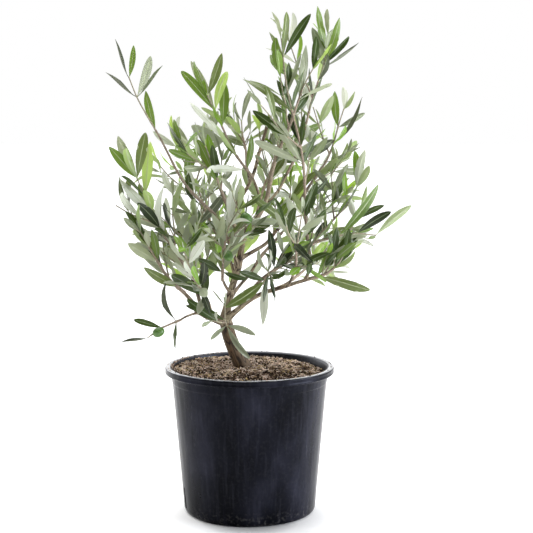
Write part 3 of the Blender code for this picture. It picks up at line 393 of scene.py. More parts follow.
# The fine leaf: stations along it, and places round its section as width share and layer, with
# the slot of the faces from each place to the next
PETIOLE = 0.06
LEAF_PLACES = (0, 0.03, 0.06, 0.13, 0.23, 0.35, 0.48, 0.60, 0.72, 0.82, 0.90, 0.955, 0.985, 1.0)
BASE_POWER = 0.85
TIP_POWERS = (0.52, 0.86)
RING = ((-1, 0), (-0.6, 1), (-0.055, 1), (0.055, 1), (0.6, 1),
        (1, 0), (0.6, -1), (0.055, -1), (-0.055, -1), (-0.6, -1))
RING_SLOTS = ("top", "top", "rib", "top", "top", "under", "under", "rib_under", "under", "under")
RING_ENDS = ((9, 0, 1, 2), (8, 9, 2, 3), (7, 8, 3, 4), (6, 7, 4, 5))
BLADE_THICKNESS = 0.5 * MM
STALK_HALF = 0.55 * MM
POINT_HALF = 0.16 * MM
RIB_GROOVE = 0.14 * MM
RIB_RIDGE = 0.32 * MM
CURLS = (-0.12, 0.05)
SWEEPS = (-0.045, 0.045)
FINE_WIDTHS = (0.88, 1.12)
FOLDS = (0.12, 0.55)
ROLLS = (0.05, 0.25)
TWISTS = (-0.7, 0.7)
RIPPLES = (0.0, 0.14)
RIPPLE_WAVES = 2.5
TWIST_FROM = 0.25
EDGE_THINNING = 0.3
RIB_WITHIN = 0.1
RIB_FADE = 0.85
LEAF_SHARP = 55

# A share of the leaves curl up lengthwise, as do those that show their edge at the shoot tips
CURLED_SHARE = 0.1
CURLED_FOLDS = (0.9, 1.5)
CURLED_CURLS = (-0.22, -0.08)
CURLED_WIDTH = 0.72

# How much thicker the twigs are than those of the solids, as their nodes and bark are shown
TWIG_SWELL = 1.2
TWIG_THINNING = 0.16
TWIG_MESH_STEP = 3.2 * MM
STALK_MESH_STEP = 2 * MM
STALK_SIDES = 6
TWIG_SHARP = 60
NODE_SWELL = 0.35
NODE_REACH = 1.6 * MM
OLD_TWIG_OVER = 1.25 * MM
GREEN_TWIG_UNDER = 0.72 * MM

# Sides of the shown stems, twigs and finer twigs, their lead before the foot and their first node
STEM_LOOK = (9, 3 * MM, STEM_FIRST_PAIR)
TWIG_LOOK = (7, 0, TWIG_FIRST_PAIR)
FINE_LOOK = (6, 0, 0.5)

# The shown olive: its mesh, its fullness towards the ends, its blunt point and its dimple
OLIVE_MESH = (22, 28)
OLIVE_FULLNESS = 0.94
OLIVE_POINT = 0.05
DIMPLE_FROM = -0.93
DIMPLE_DEPTH = 9 * MM
OLIVE_FIRST_RING = 0.35
OLIVE_DENTS = (0.012, 300)

# Bark
BARK_VOXEL = 0.75 * MM
BARK_STEP = 2.5 * MM
BARK_SIDES = 20
TRUNK_BARK_SIDES = 48
COLLAR = 0.45
COLLAR_REACH = 2.2
FOOT_IN_SOIL = 4 * MM
BARK_FLARE = 2 * MM
OLD_BARK_FROM = 3.5 * MM
OLD_BARK_AT = 9 * MM
BARK_SCALES = (130, 270, 700)
BARK_STRETCH = 0.22
FURROW_HALF = 0.16
BARK_RELIEF = 0.045
BARK_EVEN = 0.3
BARK_SMOOTHING = (0.5, 3)
JOIN_REACH = 4

# The bark's depth: its even level, what lumps and grain add, what furrows take, and how far
# its pattern is shifted from one limb to the next
BARK_LEVELS = (0.5, 0.35, 0.15, 0.7)
BARK_SHIFT = Vector((7, 3, 5))
BARK_SHIFT_STEP = 0.1

# The compost's relief: height and scale of each layer of lumps
SOIL_ROUGHNESS = ((1.5 * MM, 60), (2.2 * MM, 150), (1.4 * MM, 380))

# The scale of the grain on twigs, ribs and loose compost, and how the tone of wood varies by it
GRAIN = 420
GRAIN_TONES = ((0.30, 0.66), (0.50, 1.0), (0.70, 1.36))
WOOD = ("olive_stalk", "old_twig", "twig", "young_twig")

# The grained finishes: colour and roughness
GRAINED = {
    "olive_stalk": ((0.16, 0.20, 0.06), 0.6),
    "old_twig": ((0.25, 0.195, 0.145), 0.8),
    "twig": ((0.255, 0.225, 0.155), 0.7),
    "young_twig": ((0.25, 0.26, 0.155), 0.6),
    "rib": ((0.40, 0.46, 0.25), 0.5),
    "rib_dark": ((0.21, 0.27, 0.13), 0.45),
    "rib_under": ((0.52, 0.55, 0.40), 0.6),
    "stalk": ((0.36, 0.40, 0.17), 0.55),
    "crumb_dark": ((0.016, 0.010, 0.006), 0.95),
    "crumb_mid": ((0.205, 0.138, 0.100), 0.95),
    "crumb_light": ((0.74, 0.57, 0.45), 0.9),
    "crumb_ochre": ((0.64, 0.46, 0.22), 0.9),
    "grit": ((0.80, 0.72, 0.60), 0.85),
    "fibre_dark": ((0.030, 0.018, 0.011), 0.9),
    "fibre": ((0.24, 0.160, 0.110), 0.9),
    "fibre_light": ((0.76, 0.61, 0.51), 0.9),
    "fibre_straw": ((0.62, 0.47, 0.25), 0.85),
}

GRAIN_RELIEF = (0.5, 0.0005)

# Noises of the finishes: scale, detail and stretch; and reliefs: strength and depth
BARK_MOTTLE = (45, 3, (1, 1, 0.5))
BARK_GRAIN = (900, 4)
BARK_PITS = (0.35, 0.0004)
PLASTIC_CLOUDS = (19, 5, (1, 1, 0.5))
PLASTIC_SCUFFS = (170, 4, (1, 1, 0.05))
PLASTIC_DUST_AND_HIGHLIGHT = (240, 6)
PLASTIC_WEAR = (60, 5, (1, 1, 0.3))
PLASTIC_WAVES = (24, 2, (1, 1, 0.35))
WAVE_RELIEF = (0.45, 0.004)
SCUFF_RELIEF = (0.25, 0.0006)
DUST_AND_HIGHLIGHT_SHARES = (0.08, 1)
SOIL_MOTTLE = (260, 6)
SOIL_GRIT = (700, 5)
GRIT_RELIEF = (0.8, 0.001)
OLIVE_MOTTLE = (380, 3)
OLIVE_PORES = (520, 3)
PORE_RELIEF = (0.3, 0.0005)

# The surfaces of leaves: roughness, gloss and strength of their pits; and the pits' noise and depth
TOP_SURFACE = (0.31, 0.50, 0.55)
DARK_TOP_SURFACE = (0.31, 0.30, 0.55)
UNDER_SURFACE = (0.65, 0.15, 0.55)
EDGE_SURFACE = (0.8, 0.04, 0.1)
LEAF_PITS = (300, 2)
LEAF_PIT_DEPTH = 0.0011

# The tones of the bark by depth, by age and in patches, and of the plastic, compost and olives
BARK_PLATES = ((0.0, (0.040, 0.027, 0.017)), (0.3, (0.155, 0.117, 0.080)),
               (0.62, (0.315, 0.264, 0.188)), (1.0, (0.54, 0.49, 0.385)))
BARK_AGEING = ((0.0, (1.0, 1.0, 1.0)), (1.0, (0.50, 0.40, 0.32)))
BARK_PATCHES = ((0.3, (0.76, 0.64, 0.52)), (0.55, (1.0, 0.97, 0.90)), (0.75, (0.86, 0.92, 0.78)))
PLASTIC_TONES = ((0.36, (0.0014, 0.0015, 0.0022)), (0.52, (0.0046, 0.0049, 0.0078)),
                 (0.70, (0.0150, 0.0155, 0.0240)))
SCUFF_TONES = ((0.50, (0.0, 0.0, 0.0)), (0.74, (0.014, 0.014, 0.019)))
PLASTIC_SHEEN = (0.76, 0.81, 1.0, 1)
SOIL_TONES = ((0.3, (0.007, 0.005, 0.004)), (0.5, (0.034, 0.022, 0.015)),
              (0.72, (0.20, 0.145, 0.105)))
OLIVE_TONES = ((0.35, (0.050, 0.115, 0.022)), (0.6, (0.085, 0.175, 0.035)),
               (0.8, (0.13, 0.22, 0.06)))

# The pot's finishes: material, gloss, range of roughness, colour of the light specks, and coat;
# the specks are dust on the wall, thickest near the foot, paler flecks inside, and a painted
# highlight on the rim
POT_FINISHES = {
    "pot": ("pot_plastic", 0.06, (0.15, 0.34), (0.055, 0.052, 0.048), 0.0),
    "pot_rim": ("pot_rim", 1.0, (0.06, 0.16), (1.6, 1.55, 1.5), 1.0),
    "pot_inside": ("pot_inside", 0.4, (0.35, 0.5), (0.34, 0.28, 0.22), 0.0),
}

# Where the compost has sunk along the wall and where it is heaped, and how far
SLUMP = 5.5 * MM
SLUMP_TOWARDS = math.radians(28)
HEAP = 3.4 * MM
HEAP_TOWARDS = math.radians(192)

# Loose compost: counts, sizes, and the finishes by weight where it is pale and where it is dark: pale
# on the lumps, and dark in damp patches and in the hollows, where the dark is painted shade
SMALL_CRUMBS = 3600
LARGE_CRUMBS = 120
SMALL_CRUMB = (0.45 * MM, 1.3 * MM)
LARGE_CRUMB = (1.2 * MM, 2.4 * MM)
RIM_CRUMBS = 26
SPILT_CRUMBS = 260
SPILT_SPREAD = math.radians(42)
SPILT_REACH = 1.6 * MM
CRUMB_SEED = SEED + 600
CRUMB_EDGE = 1 * MM
CRUMB_RISES = (0.0, 0.7)
CRUMB_STRETCHES = ((0.7, 1.5), (0.6, 1.1), (0.45, 0.9))
CRUMB_BUMPS = (0.45, 1.3)
RIM_BAND = (2.5, 5.5)
SPILT_CRUMB = (0.5, 1.2)
RIM_CRUMB_RISE = 0.3
RIM_CRUMB_KINDS = 3
DRY_CRUMBS = {"crumb_dark": 1.5, "crumb_mid": 4.6, "crumb_light": 6.4, "crumb_ochre": 2.2,
              "grit": 0.6}
DAMP_AND_SHADE_CRUMBS = (9, 3, 0.6, 0.4, 0)
FIBRES = 2300
FIBRE_STEPS = 6
FIBRE_LENGTHS = (4 * MM, 12 * MM)
FIBRE_RADII = (0.28 * MM, 0.55 * MM)
FIBRE_LIFTS = (0.3 * MM, 1.9 * MM)
DRY_FIBRES = {"fibre_dark": 1, "fibre": 3, "fibre_light": 6, "fibre_straw": 1.2}
# Fibres are darker in damp patches and in the hollows, where the dark is painted shade
DAMP_AND_SHADE_FIBRES = (8, 4, 1.2, 0.5)
FIBRE_SEED = SEED + 700
FIBRE_EDGE = 3 * MM
FIBRE_CURL = 2.6
FIBRE_CLEAR = 0.4 * MM
FIBRE_TAPER = 0.6
FIBRE_SIDES = 5
FIBRE_SHARP = 70

# How pale the compost is: usually, in dry and damp patches, paler towards the back, and paler on its
# lumps and darker in its hollows as painted shade
DRYNESS = 0.64
PATCH_SCALE = 52
PATCH_TONE = 1.5
BACK_TONE = 0.62
LUMP_SHADE_TONE = 0.16 / MM

# Floor: the place of the deepest painted shadow by the pot's foot, and by share of the reach from
# there the floor's tone, darkened close in as a painted shadow, and its glow, a painted light that
# is none close in and grows outwards
SHADE_PLACE = (0, -0.06, 0)
FLOOR_REACH = 3.0
FLOOR_SHADOW_TONES = ((0.014, (0.45, 0.45, 0.455)), (0.024, (0.84, 0.84, 0.85)), (1.0, (0.86, 0.86, 0.87)))
FLOOR_PAINTED_GLOW = ((0.020, (0.0, 0.0, 0.0)), (0.05, (0.34, 0.34, 0.34)), (1.0, (0.62, 0.62, 0.62)))
FLOOR_HALF = 40

# Camera
CAMERA_PLACE = (0.024, -1.80, 0.543)
CAMERA_PITCH = 6.15
CAMERA_LENS = 86.8
CAMERA_SENSOR = 36

# The strength of the world's light by how far its direction points to +Y: weak from the front
# and strong from behind the plant
WORLD_LIGHT = {"From Min": -0.6, "From Max": 0.6, "To Min": 0.14, "To Max": 1.40}

# The lights: place, aim, size, power and colour
LIGHTS = {
    "right_softbox": ((1.85, -0.65, 0.4), (0, 0, 0.2), 1.2, 64, (0.90, 0.94, 1.0)),
    "left_softbox": ((-1.4, 1.2, 0.6), (0, 0, 0.3), 1.2, 12, (1.0, 1.0, 1.0)),
    "top_softbox": ((-0.2, 0.3, 2.5), (0, 0, 0.3), 2.0, 68, (1.0, 0.99, 0.96)),
}


def millimetres(values):
    """A place or an offset given in millimetres, as a vector in metres."""
    return Vector(values[:3]) * MM


def bowed_path(foot, tip, bow, step, wander, rng):
    """Points from foot to tip, pushed aside by the bow and by a slight seeded wander."""
    length = (tip - foot).length
    count = max(3, round(length / step))
    across = (tip - foot).orthogonal().normalized()
    second = across.cross(tip - foot).normalized()
    turn = rng.uniform(0, math.tau)
    points = []
    for index in range(count + 1):
        place = index / count
        drift = wander * length * math.sin(math.pi * place)
        swing = turn + math.tau * WANDER_TURNS * place
        sway = (across * math.cos(swing) + second * math.sin(swing)) * drift
        points.append(foot.lerp(tip, place) + bow * (4 * place * (1 - place)) + sway)
    return points


def point_at(path, place):
    """The point and the direction at a place, from 0 to 1, along a path."""
    reach = min(max(place, 0.0), 1.0) * (len(path) - 1)
    index = min(int(reach), len(path) - 2)
    along = (path[index + 1] - path[index]).normalized()
    return path[index].lerp(path[index + 1], reach - index), along


def direction_at(path, index):
    """The direction of a path at one of its points."""
    before = path[max(index - 1, 0)]
    after = path[min(index + 1, len(path) - 1)]
    return (after - before).normalized()


def path_length(path):
    """The length of a path along its points."""
    return sum((after - before).length for before, after in zip(path, path[1:]))


def circle(sides):
    """The cosine and sine of even steps round a circle."""
    angles = [math.tau * step / sides for step in range(sides)]
    return [(math.cos(angle), math.sin(angle)) for angle in angles]


def ring_faces(rings, sides):
    """Quads between rings of the same count of vertices, open at both ends."""
    faces = []
    for low in range(0, (rings - 1) * sides, sides):
        for step in range(sides):
            following = (step + 1) % sides
            faces.append((low + step, low + following, low + sides + following, low + sides + step))
    return faces


def closed_faces(rings, sides):
    """The same quads with a flat face over each end."""
    ends = [tuple(reversed(range(sides))), tuple(range((rings - 1) * sides, rings * sides))]
    return ring_faces(rings, sides) + ends


def poled_faces(rings, sides):
    """Faces over rings of vertices that lie between two poles, the first vertex and the last."""
    top = 1 + rings * sides
    faces = []
    for step in range(sides):
        following = (step + 1) % sides
        faces.append((0, 1 + following, 1 + step))
        faces.append((top, top - sides + step, top - sides + following))
        for low in range(1, top - sides, sides):
            faces.append((low + step, low + following, low + sides + following, low + sides + step))
    return faces


def tube(path, radii, sides, first_along=None, swell=0.0):
    """Vertices and faces of a closed tapering tube along a path."""
    verts = []
    side = (first_along or direction_at(path, 0)).orthogonal().normalized()
    last = len(path) - 1
    for index, point in enumerate(path):
        along = direction_at(path, index)
        if index == 0 and first_along is not None:
            along = first_along
        side = (side - along * side.dot(along)).normalized()
        third = along.cross(side)
        centre = point.copy()
        if index == last:
            centre = point + along * swell
        if index == 0:
            centre = point - along * swell
        reach = radii[index] + swell
        verts += [centre + (side * x + third * y) * reach for x, y in circle(sides)]
    return verts, closed_faces(last + 1, sides)


def tapering(count, foot_radius, tip_radius):
    """Radii that fall evenly from foot to tip."""
    return [foot_radius + (tip_radius - foot_radius) * index / (count - 1) for index in range(count)]


class Limb:
    """A trunk, bough, stem or twig: its path, its radii and the shape that others keep clear of."""

    def __init__(self, path, radii, sides, first_along=None):
        self.path = path
        self.radii = radii
        self.sides = sides
        self.first_along = first_along

    def shape(self, swell=0.0):
        return tube(self.path, self.radii, self.sides, self.first_along, swell)

    def radius_at(self, place):
        reach = min(max(place, 0.0), 1.0) * (len(self.radii) - 1)
        index = min(int(reach), len(self.radii) - 2)
        share = reach - index
        return self.radii[index] * (1 - share) + self.radii[index + 1] * share


def bowed_limb(foot, tip, bow, step, radii, sides, rng, first_along=None):
    """A limb from foot to tip that wanders a little and tapers between two radii."""
    path = bowed_path(foot, tip, bow, step, WANDER, rng)
    return Limb(path, tapering(len(path), *radii), sides, first_along)


def trunk_limb():
    """The trunk: leaning, tapering and rounded over at the fork."""
    rng = random.Random(SEED)
    step = (TRUNK_TIP - TRUNK_FOOT).length / TRUNK_RINGS
    path = bowed_path(TRUNK_FOOT, TRUNK_TIP, TRUNK_BOW, step, 0.0, rng)
    radii = tapering(len(path), TRUNK_FOOT_RADIUS, TRUNK_TIP_RADIUS)
    along = direction_at(path, len(path) - 1)
    for rise, share in TRUNK_CROWN:
        path.append(TRUNK_TIP + along * rise)
        radii.append(TRUNK_TIP_RADIUS * share)
    return Limb(path, radii, TRUNK_SIDES, UP)


def flare_roots(verts, flare=FLARE):
    """Spread the trunk's foot into a few low root ridges."""
    lowest = TRUNK_FOOT.z
    for vert in verts:
        height = max(vert.z - lowest, 0.0)
        axis = TRUNK_FOOT.lerp(TRUNK_TIP, min(height / (TRUNK_TIP.z - lowest), 1))
        outward = Vector((vert.x - axis.x, vert.y - axis.y, 0))
        wave = math.cos(FLARE_ROOTS * math.atan2(outward.y, outward.x) + FLARE_TURN)
        ridge = FLARE_LEVELS[0] + FLARE_LEVELS[1] * wave
        spread = flare * ridge * math.exp(-((height / FLARE_HEIGHT) ** FLARE_FALL))
        vert += outward.normalized() * spread
    return verts


def continues(row):
    """Whether a bough carries on from the tip of another."""
    return row.place == 1.0 and row.carrier != "trunk"


def bough_limbs(trunk):
    """Every bough, in the table's order, each from its place on its carrier to its tip."""
    limbs = {"trunk": trunk}
    for number, row in enumerate(BOUGHS):
        rng = random.Random(BOUGH_SEED + number)
        foot, along = point_at(limbs[row.carrier].path, row.place)
        if continues(row):
            foot = foot + along * GAP
        radii = (row.foot_radius * MM, row.tip_radius * MM)
        limbs[row.name] = bowed_limb(foot, millimetres(row.tip), millimetres(row.bow), BOUGH_STEP,
                                     radii, BOUGH_SIDES, rng, along if continues(row) else None)
    return limbs


def stem_limb(row, number, limbs):
    """The main stem of a foliage mass, the gap clear of its bough's tip or of the trunk."""
    rng = random.Random(STEM_SEED + number)
    if row.name in limbs:
        carrier = limbs[row.name]
        foot, along = point_at(carrier.path, 1.0)
        foot = foot + along * GAP
        foot_radius = carrier.radii[-1]
    else:
        along = FRONT
        foot = point_at(limbs["trunk"].path, TRUNK_STEM_PLACE)[0]
        foot = foot + along * (limbs["trunk"].radius_at(TRUNK_STEM_PLACE) + GAP)
        foot_radius = TWIG_RADIUS
    return bowed_limb(foot, millimetres(row.tip), millimetres(row.bow), STEM_STEP,
                      (foot_radius, STEM_TIP_RADIUS), STEM_SIDES, rng, along)


def side_twigs(row, stem, rng, crowd):
    """Side twigs that leave the stem by turns, skipping any that would touch something."""
    twigs = []
    length = path_length(stem.path)
    ahead, aside, upward = TWIG_HEADING
    for number in range(row.twigs):
        place = TWIG_FIRST + TWIG_SPREAD * (number + rng.uniform(*TWIG_JITTER)) / row.twigs
        foot, along = point_at(stem.path, place)
        across = along.orthogonal().normalized()
        for attempt in range(TWIG_TRIES):
            turn = math.radians(row.roll + TWIG_TURN * number + TWIG_RETRY_TURN * attempt)
            side = Matrix.Rotation(turn, 3, along) @ across
            heading = (along * ahead + side * aside + UP * upward).normalized()
            reach = min(max(length * rng.uniform(*TWIG_SHARE), TWIG_SHORTEST), TWIG_LONGEST)
            twig = bowed_limb(foot, foot + heading * reach, UP * reach * -TWIG_SAG, TWIG_STEP,
                              (TWIG_RADIUS, TWIG_TIP_RADIUS), TWIG_SIDES, rng)
            if crowd.takes_twig(row.name, twig):
                twigs.append(twig)
                break
    return twigs


def trimmed_twig(twig):
    """A twig's test shape, without the foot that is sunk in its stem."""
    path = [point_at(twig.path, TWIG_FOOT)[0]] + twig.path[1:]
    return tube(path, twig.radii, twig.sides, None, CLEARANCE)


def within_crown(point):
    """Whether a leaf's tip stays inside the crown's outline."""
    if abs(point.y) > CROWN_DEPTH:
        return False
    for low, high in zip(CROWN_OUTLINE, CROWN_OUTLINE[1:]):
        bottom, left, right = (value * MM for value in low)
        top, upper_left, upper_right = (value * MM for value in high)
        if bottom <= point.z < top:
            share = (point.z - bottom) / (top - bottom)
            reach_left = left + (upper_left - left) * share
            reach_right = right + (upper_right - right) * share
            return reach_left <= point.x <= reach_right
    return False


def nodes_along(limb, first, roll):
    """Places where leaf pairs sit: the point, the direction and a side that turns by quarters."""
    count = max(2, round(path_length(limb.path) * (1 - first) / INTERNODE))
    nodes = []
    for number in range(count + 1):
        place = first + (1 - first) * number / count
        point, along = point_at(limb.path, place * LAST_NODE)
        turn = Matrix.Rotation(math.radians(roll + PAIR_TURN * number), 3, along)
        nodes.append(Node(point, along, turn @ FRONT.cross(along).normalized(), place))
    return nodes


def leaf_middle(leaf, place):
    """The point of a leaf's midrib at a share of its length."""
    lift = leaf.bend * leaf.length * place ** 2
    return leaf.root + leaf.along * (leaf.length * place) + leaf.face * lift


def leaf_shape(leaf, start=0.0, swell=0.0):
    """A leaf as a closed solid: a pointed root and tip, flat below, one high point above."""
    across = leaf.along.cross(leaf.face).normalized()
    low = leaf.face * -swell
    high = leaf.face * (max(leaf.length * LEAF_THICKNESS, LEAF_LEAST) + swell)
    verts = [leaf_middle(leaf, start) - leaf.along * swell]
    for place, fullness in zip(LEAF_STATIONS, LEAF_FULLNESS):
        half = across * (leaf.width / 2 * fullness + swell)
        verts.append(leaf_middle(leaf, place) - half + low)
        verts.append(leaf_middle(leaf, place) + half + low)
    verts.append(leaf_middle(leaf, 1.0) + leaf.along * swell)
    verts.append(leaf_middle(leaf, LEAF_RIDGE) + high)
    faces = [(0, 1, 2), (1, 3, 4, 2), (3, 5, 4), (0, 6, 1), (1, 6, 3), (3, 6, 5), (5, 6, 4),
             (4, 6, 2), (2, 6, 0)]
    return verts, faces


def leaf_towards(node, aim, turn, bend):
    """A leaf from a node to a stated tip, its blade turned about its length."""
    heading = (aim - node.point).normalized()
    root = node.point - heading * ROOT_SINK
    facing = (FRONT - heading * FRONT.dot(heading)).normalized()
    face = Matrix.Rotation(math.radians(turn), 3, heading) @ facing
    if bend == EDGE_ON_BEND and face.z < 0:
        face = -face
    length = (aim - root).length
    straight = (aim - root - face * (bend * length)).normalized()
    face = (face - straight * face.dot(straight)).normalized()
    return Leaf(root, straight, face, length, min(length * LEAF_WIDTH, LEAF_WIDEST), bend)


def seeded_leaf(node, side, length, rng):
    """A leaf on one side of a node, at a seeded angle, length, twist and bend."""
    point, along, _, place = node
    angle = math.radians(rng.uniform(*LEAF_ANGLES) - LEAF_CLOSING * place)
    heading = (along * math.cos(angle) + side * math.sin(angle) + UP * LEAF_LIFT).normalized()
    chance = Vector([rng.uniform(-1, 1) for _ in range(3)])
    face = along * LEAF_FACING[0] + UP * LEAF_FACING[1] + chance
    face = (face - heading * face.dot(heading)).normalized()
    reach = length * rng.uniform(*LEAF_LENGTHS) * (FOOT_LENGTH - TIP_SHORTENING * place)
    width = reach * LEAF_WIDTH * rng.uniform(*LEAF_WIDTHS)
    return Leaf(point - heading * ROOT_SINK, heading, face, reach, width, rng.uniform(*LEAF_BENDS))


def outer_leaves(row, nodes, rng, crowd):
    """Leaves that reach the mass's stated furthest tips, each from the node that suits it best."""
    leaves = []
    wanted = row.leaf * MM * OUTER_LENGTH
    for tip in row.tips:
        aim = millimetres(tip)

        def unfitness(node):
            offset = aim - node.point
            lean = offset.normalized().dot(node.along)
            return abs(offset.length - wanted) / wanted + max(0.0, LEAST_LEAN - lean) * LEAN_WEIGHT

        node = min(nodes, key=unfitness)
        bend = rng.uniform(*OUTER_BENDS)
        if tip[3] >= EDGE_ON_TURN:
            bend = EDGE_ON_BEND
        for extra in OUTER_TURNS:
            leaf = leaf_towards(node, aim, tip[3] + extra, bend)
            if crowd.takes_leaf(row.name, leaf):
                leaves.append((leaf, node))
                break
    return leaves


def crowded(node, side, taken):
    """Whether a node has a leaf on this side already."""
    return any((point - node.point).length < SAME_NODE and along.dot(side) > SAME_WAY
               for point, along in taken)


def grow_mass(row, number, stem, crowd):
    """The twigs and leaves of one mass, clear of all that stands already."""
    rng = random.Random(GROWTH_SEED + number)
    twigs = side_twigs(row, stem, rng, crowd)
    for twig in twigs:
        crowd.add(row.name, twig.shape())
    leaves = []
    taken = []

    def keep(leaf, node):
        leaves.append((leaf, node.place))
        taken.append((node.point, leaf.along))
        crowd.add(row.name, leaf_shape(leaf))

    stem_nodes = nodes_along(stem, STEM_FIRST_PAIR, row.roll)
    for leaf, node in outer_leaves(row, stem_nodes, rng, crowd):
        if crowd.takes_leaf(row.name, leaf):
            keep(leaf, node)
    twig_nodes = [nodes_along(twig, TWIG_FIRST_PAIR, row.roll + PAIR_TURN / 2) for twig in twigs]
    for node in sum(twig_nodes, stem_nodes):
        for way in (1, -1):
            side = node.side * way
            if rng.random() > row.fullness or crowded(node, side, taken):
                continue
            for attempt in range(LEAF_TRIES):
                swing = rng.uniform(-LEAF_SWING, LEAF_SWING) * attempt
                swung = Matrix.Rotation(swing, 3, node.along) @ side
                leaf = seeded_leaf(node, swung, row.leaf * MM, rng)
                if within_crown(leaf_middle(leaf, 1.0)) and crowd.takes_leaf(row.name, leaf):
                    keep(leaf, node)
                    break
    return twigs, leaves


def olives_of(row, stem):
    """The olives of a mass: the stalk from its stem, the middle and the long axis."""
    olives = []
    steps = range(STALK_FIRST_PLACE, STALK_PLACES + 1)
    places = [point_at(stem.path, step / STALK_PLACES)[0] for step in steps]
    reach = OLIVE_LENGTH * STALK_REACH
    for centre in [millimetres(values) for owner, values in OLIVES if owner == row.name]:
        foot = min(places, key=lambda point: abs((point - centre).length - reach))
        stalk = Limb([foot, foot.lerp(centre, 0.5), centre], [STALK_RADIUS] * 3, TWIG_SIDES)
        olives.append((stalk, centre, (centre - foot).normalized()))
    return olives


def olive_shape(centre, axis):
    """An egg-shaped olive about its long axis, as in the solids."""
    side = axis.orthogonal().normalized()
    third = axis.cross(side)
    verts = [centre - axis * (OLIVE_LENGTH / 2)]
    for place in OLIVE_RINGS:
        half = OLIVE_WIDTH / 2 * math.sqrt(1 - place * place)
        middle = centre + axis * (place * OLIVE_LENGTH / 2)
        verts += [middle + (side * x + third * y) * half for x, y in circle(OLIVE_SIDES)]
    verts.append(centre + axis * (OLIVE_LENGTH / 2))
    return verts, poled_faces(len(OLIVE_RINGS), OLIVE_SIDES)


class Crowd:
    """All that stands already and its owners, which whatever grows later keeps clear of."""

    def __init__(self):
        self.owners = []
        self.trees = []
        self.spheres = []

    @staticmethod
    def sphere(verts):
        """A sphere round a shape: its centre and its radius."""
        centre = sum(verts, Vector()) / len(verts)
        return (*centre, max((vert - centre).length for vert in verts))

    def add(self, owner, shape):
        """Let a shape, as vertices and faces, stand for its owner."""
        self.owners.append(owner)
        self.trees.append(BVHTree.FromPolygons(*shape))
        self.spheres.append(self.sphere(shape[0]))

    def has_room(self, owner, whole, trimmed):
        """Whether the whole shape is clear of other owners', and the trimmed one of its own."""
        spheres = np.array(self.spheres)
        own_sphere = np.array(self.sphere(whole[0]))
        away = np.linalg.norm(spheres[:, :3] - own_sphere[:3], axis=1)
        whole_tree = BVHTree.FromPolygons(*whole)
        trimmed_tree = BVHTree.FromPolygons(*trimmed)
        for index in np.nonzero(away < spheres[:, 3] + own_sphere[3])[0]:
            probe = trimmed_tree if self.owners[index] == owner else whole_tree
            if probe.overlap(self.trees[index]):
                return False
        return True

    def takes_twig(self, owner, twig):
        """Whether a twig has room, apart from the foot that is sunk in its own stem."""
        return self.has_room(owner, twig.shape(CLEARANCE), trimmed_twig(twig))

    def takes_leaf(self, owner, leaf):
        """Whether a leaf has room, apart from the foot that touches its own twig."""
        return self.has_room(owner, leaf_shape(leaf, 0.0, CLEARANCE),
                             leaf_shape(leaf, LEAF_FOOT, CLEARANCE))


def grow_solids(limbs):
    """The stems, twigs, leaves and olives of every mass, as in the solids."""
    crowd = Crowd()
    verts, faces = limbs["trunk"].shape(GAP)
    crowd.add("trunk", (flare_roots(verts), faces))
    for row in BOUGHS:
        crowd.add(f"bough_{row.name}", limbs[row.name].shape())
    stems = [stem_limb(row, number, limbs) for number, row in enumerate(MASSES)]
    fruit = [olives_of(row, stem) for row, stem in zip(MASSES, stems)]
    for row, stem, olives in zip(MASSES, stems, fruit):
        crowd.add(row.name, stem.shape())
        for stalk, centre, axis in olives:
            crowd.add(row.name, stalk.shape())
            crowd.add(row.name, olive_shape(centre, axis))
    growths = []
    for number, (row, stem, olives) in enumerate(zip(MASSES, stems, fruit)):
        twigs, leaves = grow_mass(row, number, stem, crowd)
        growths.append(Growth(row, stem, olives, twigs, leaves, [], []))
    return growths, crowd


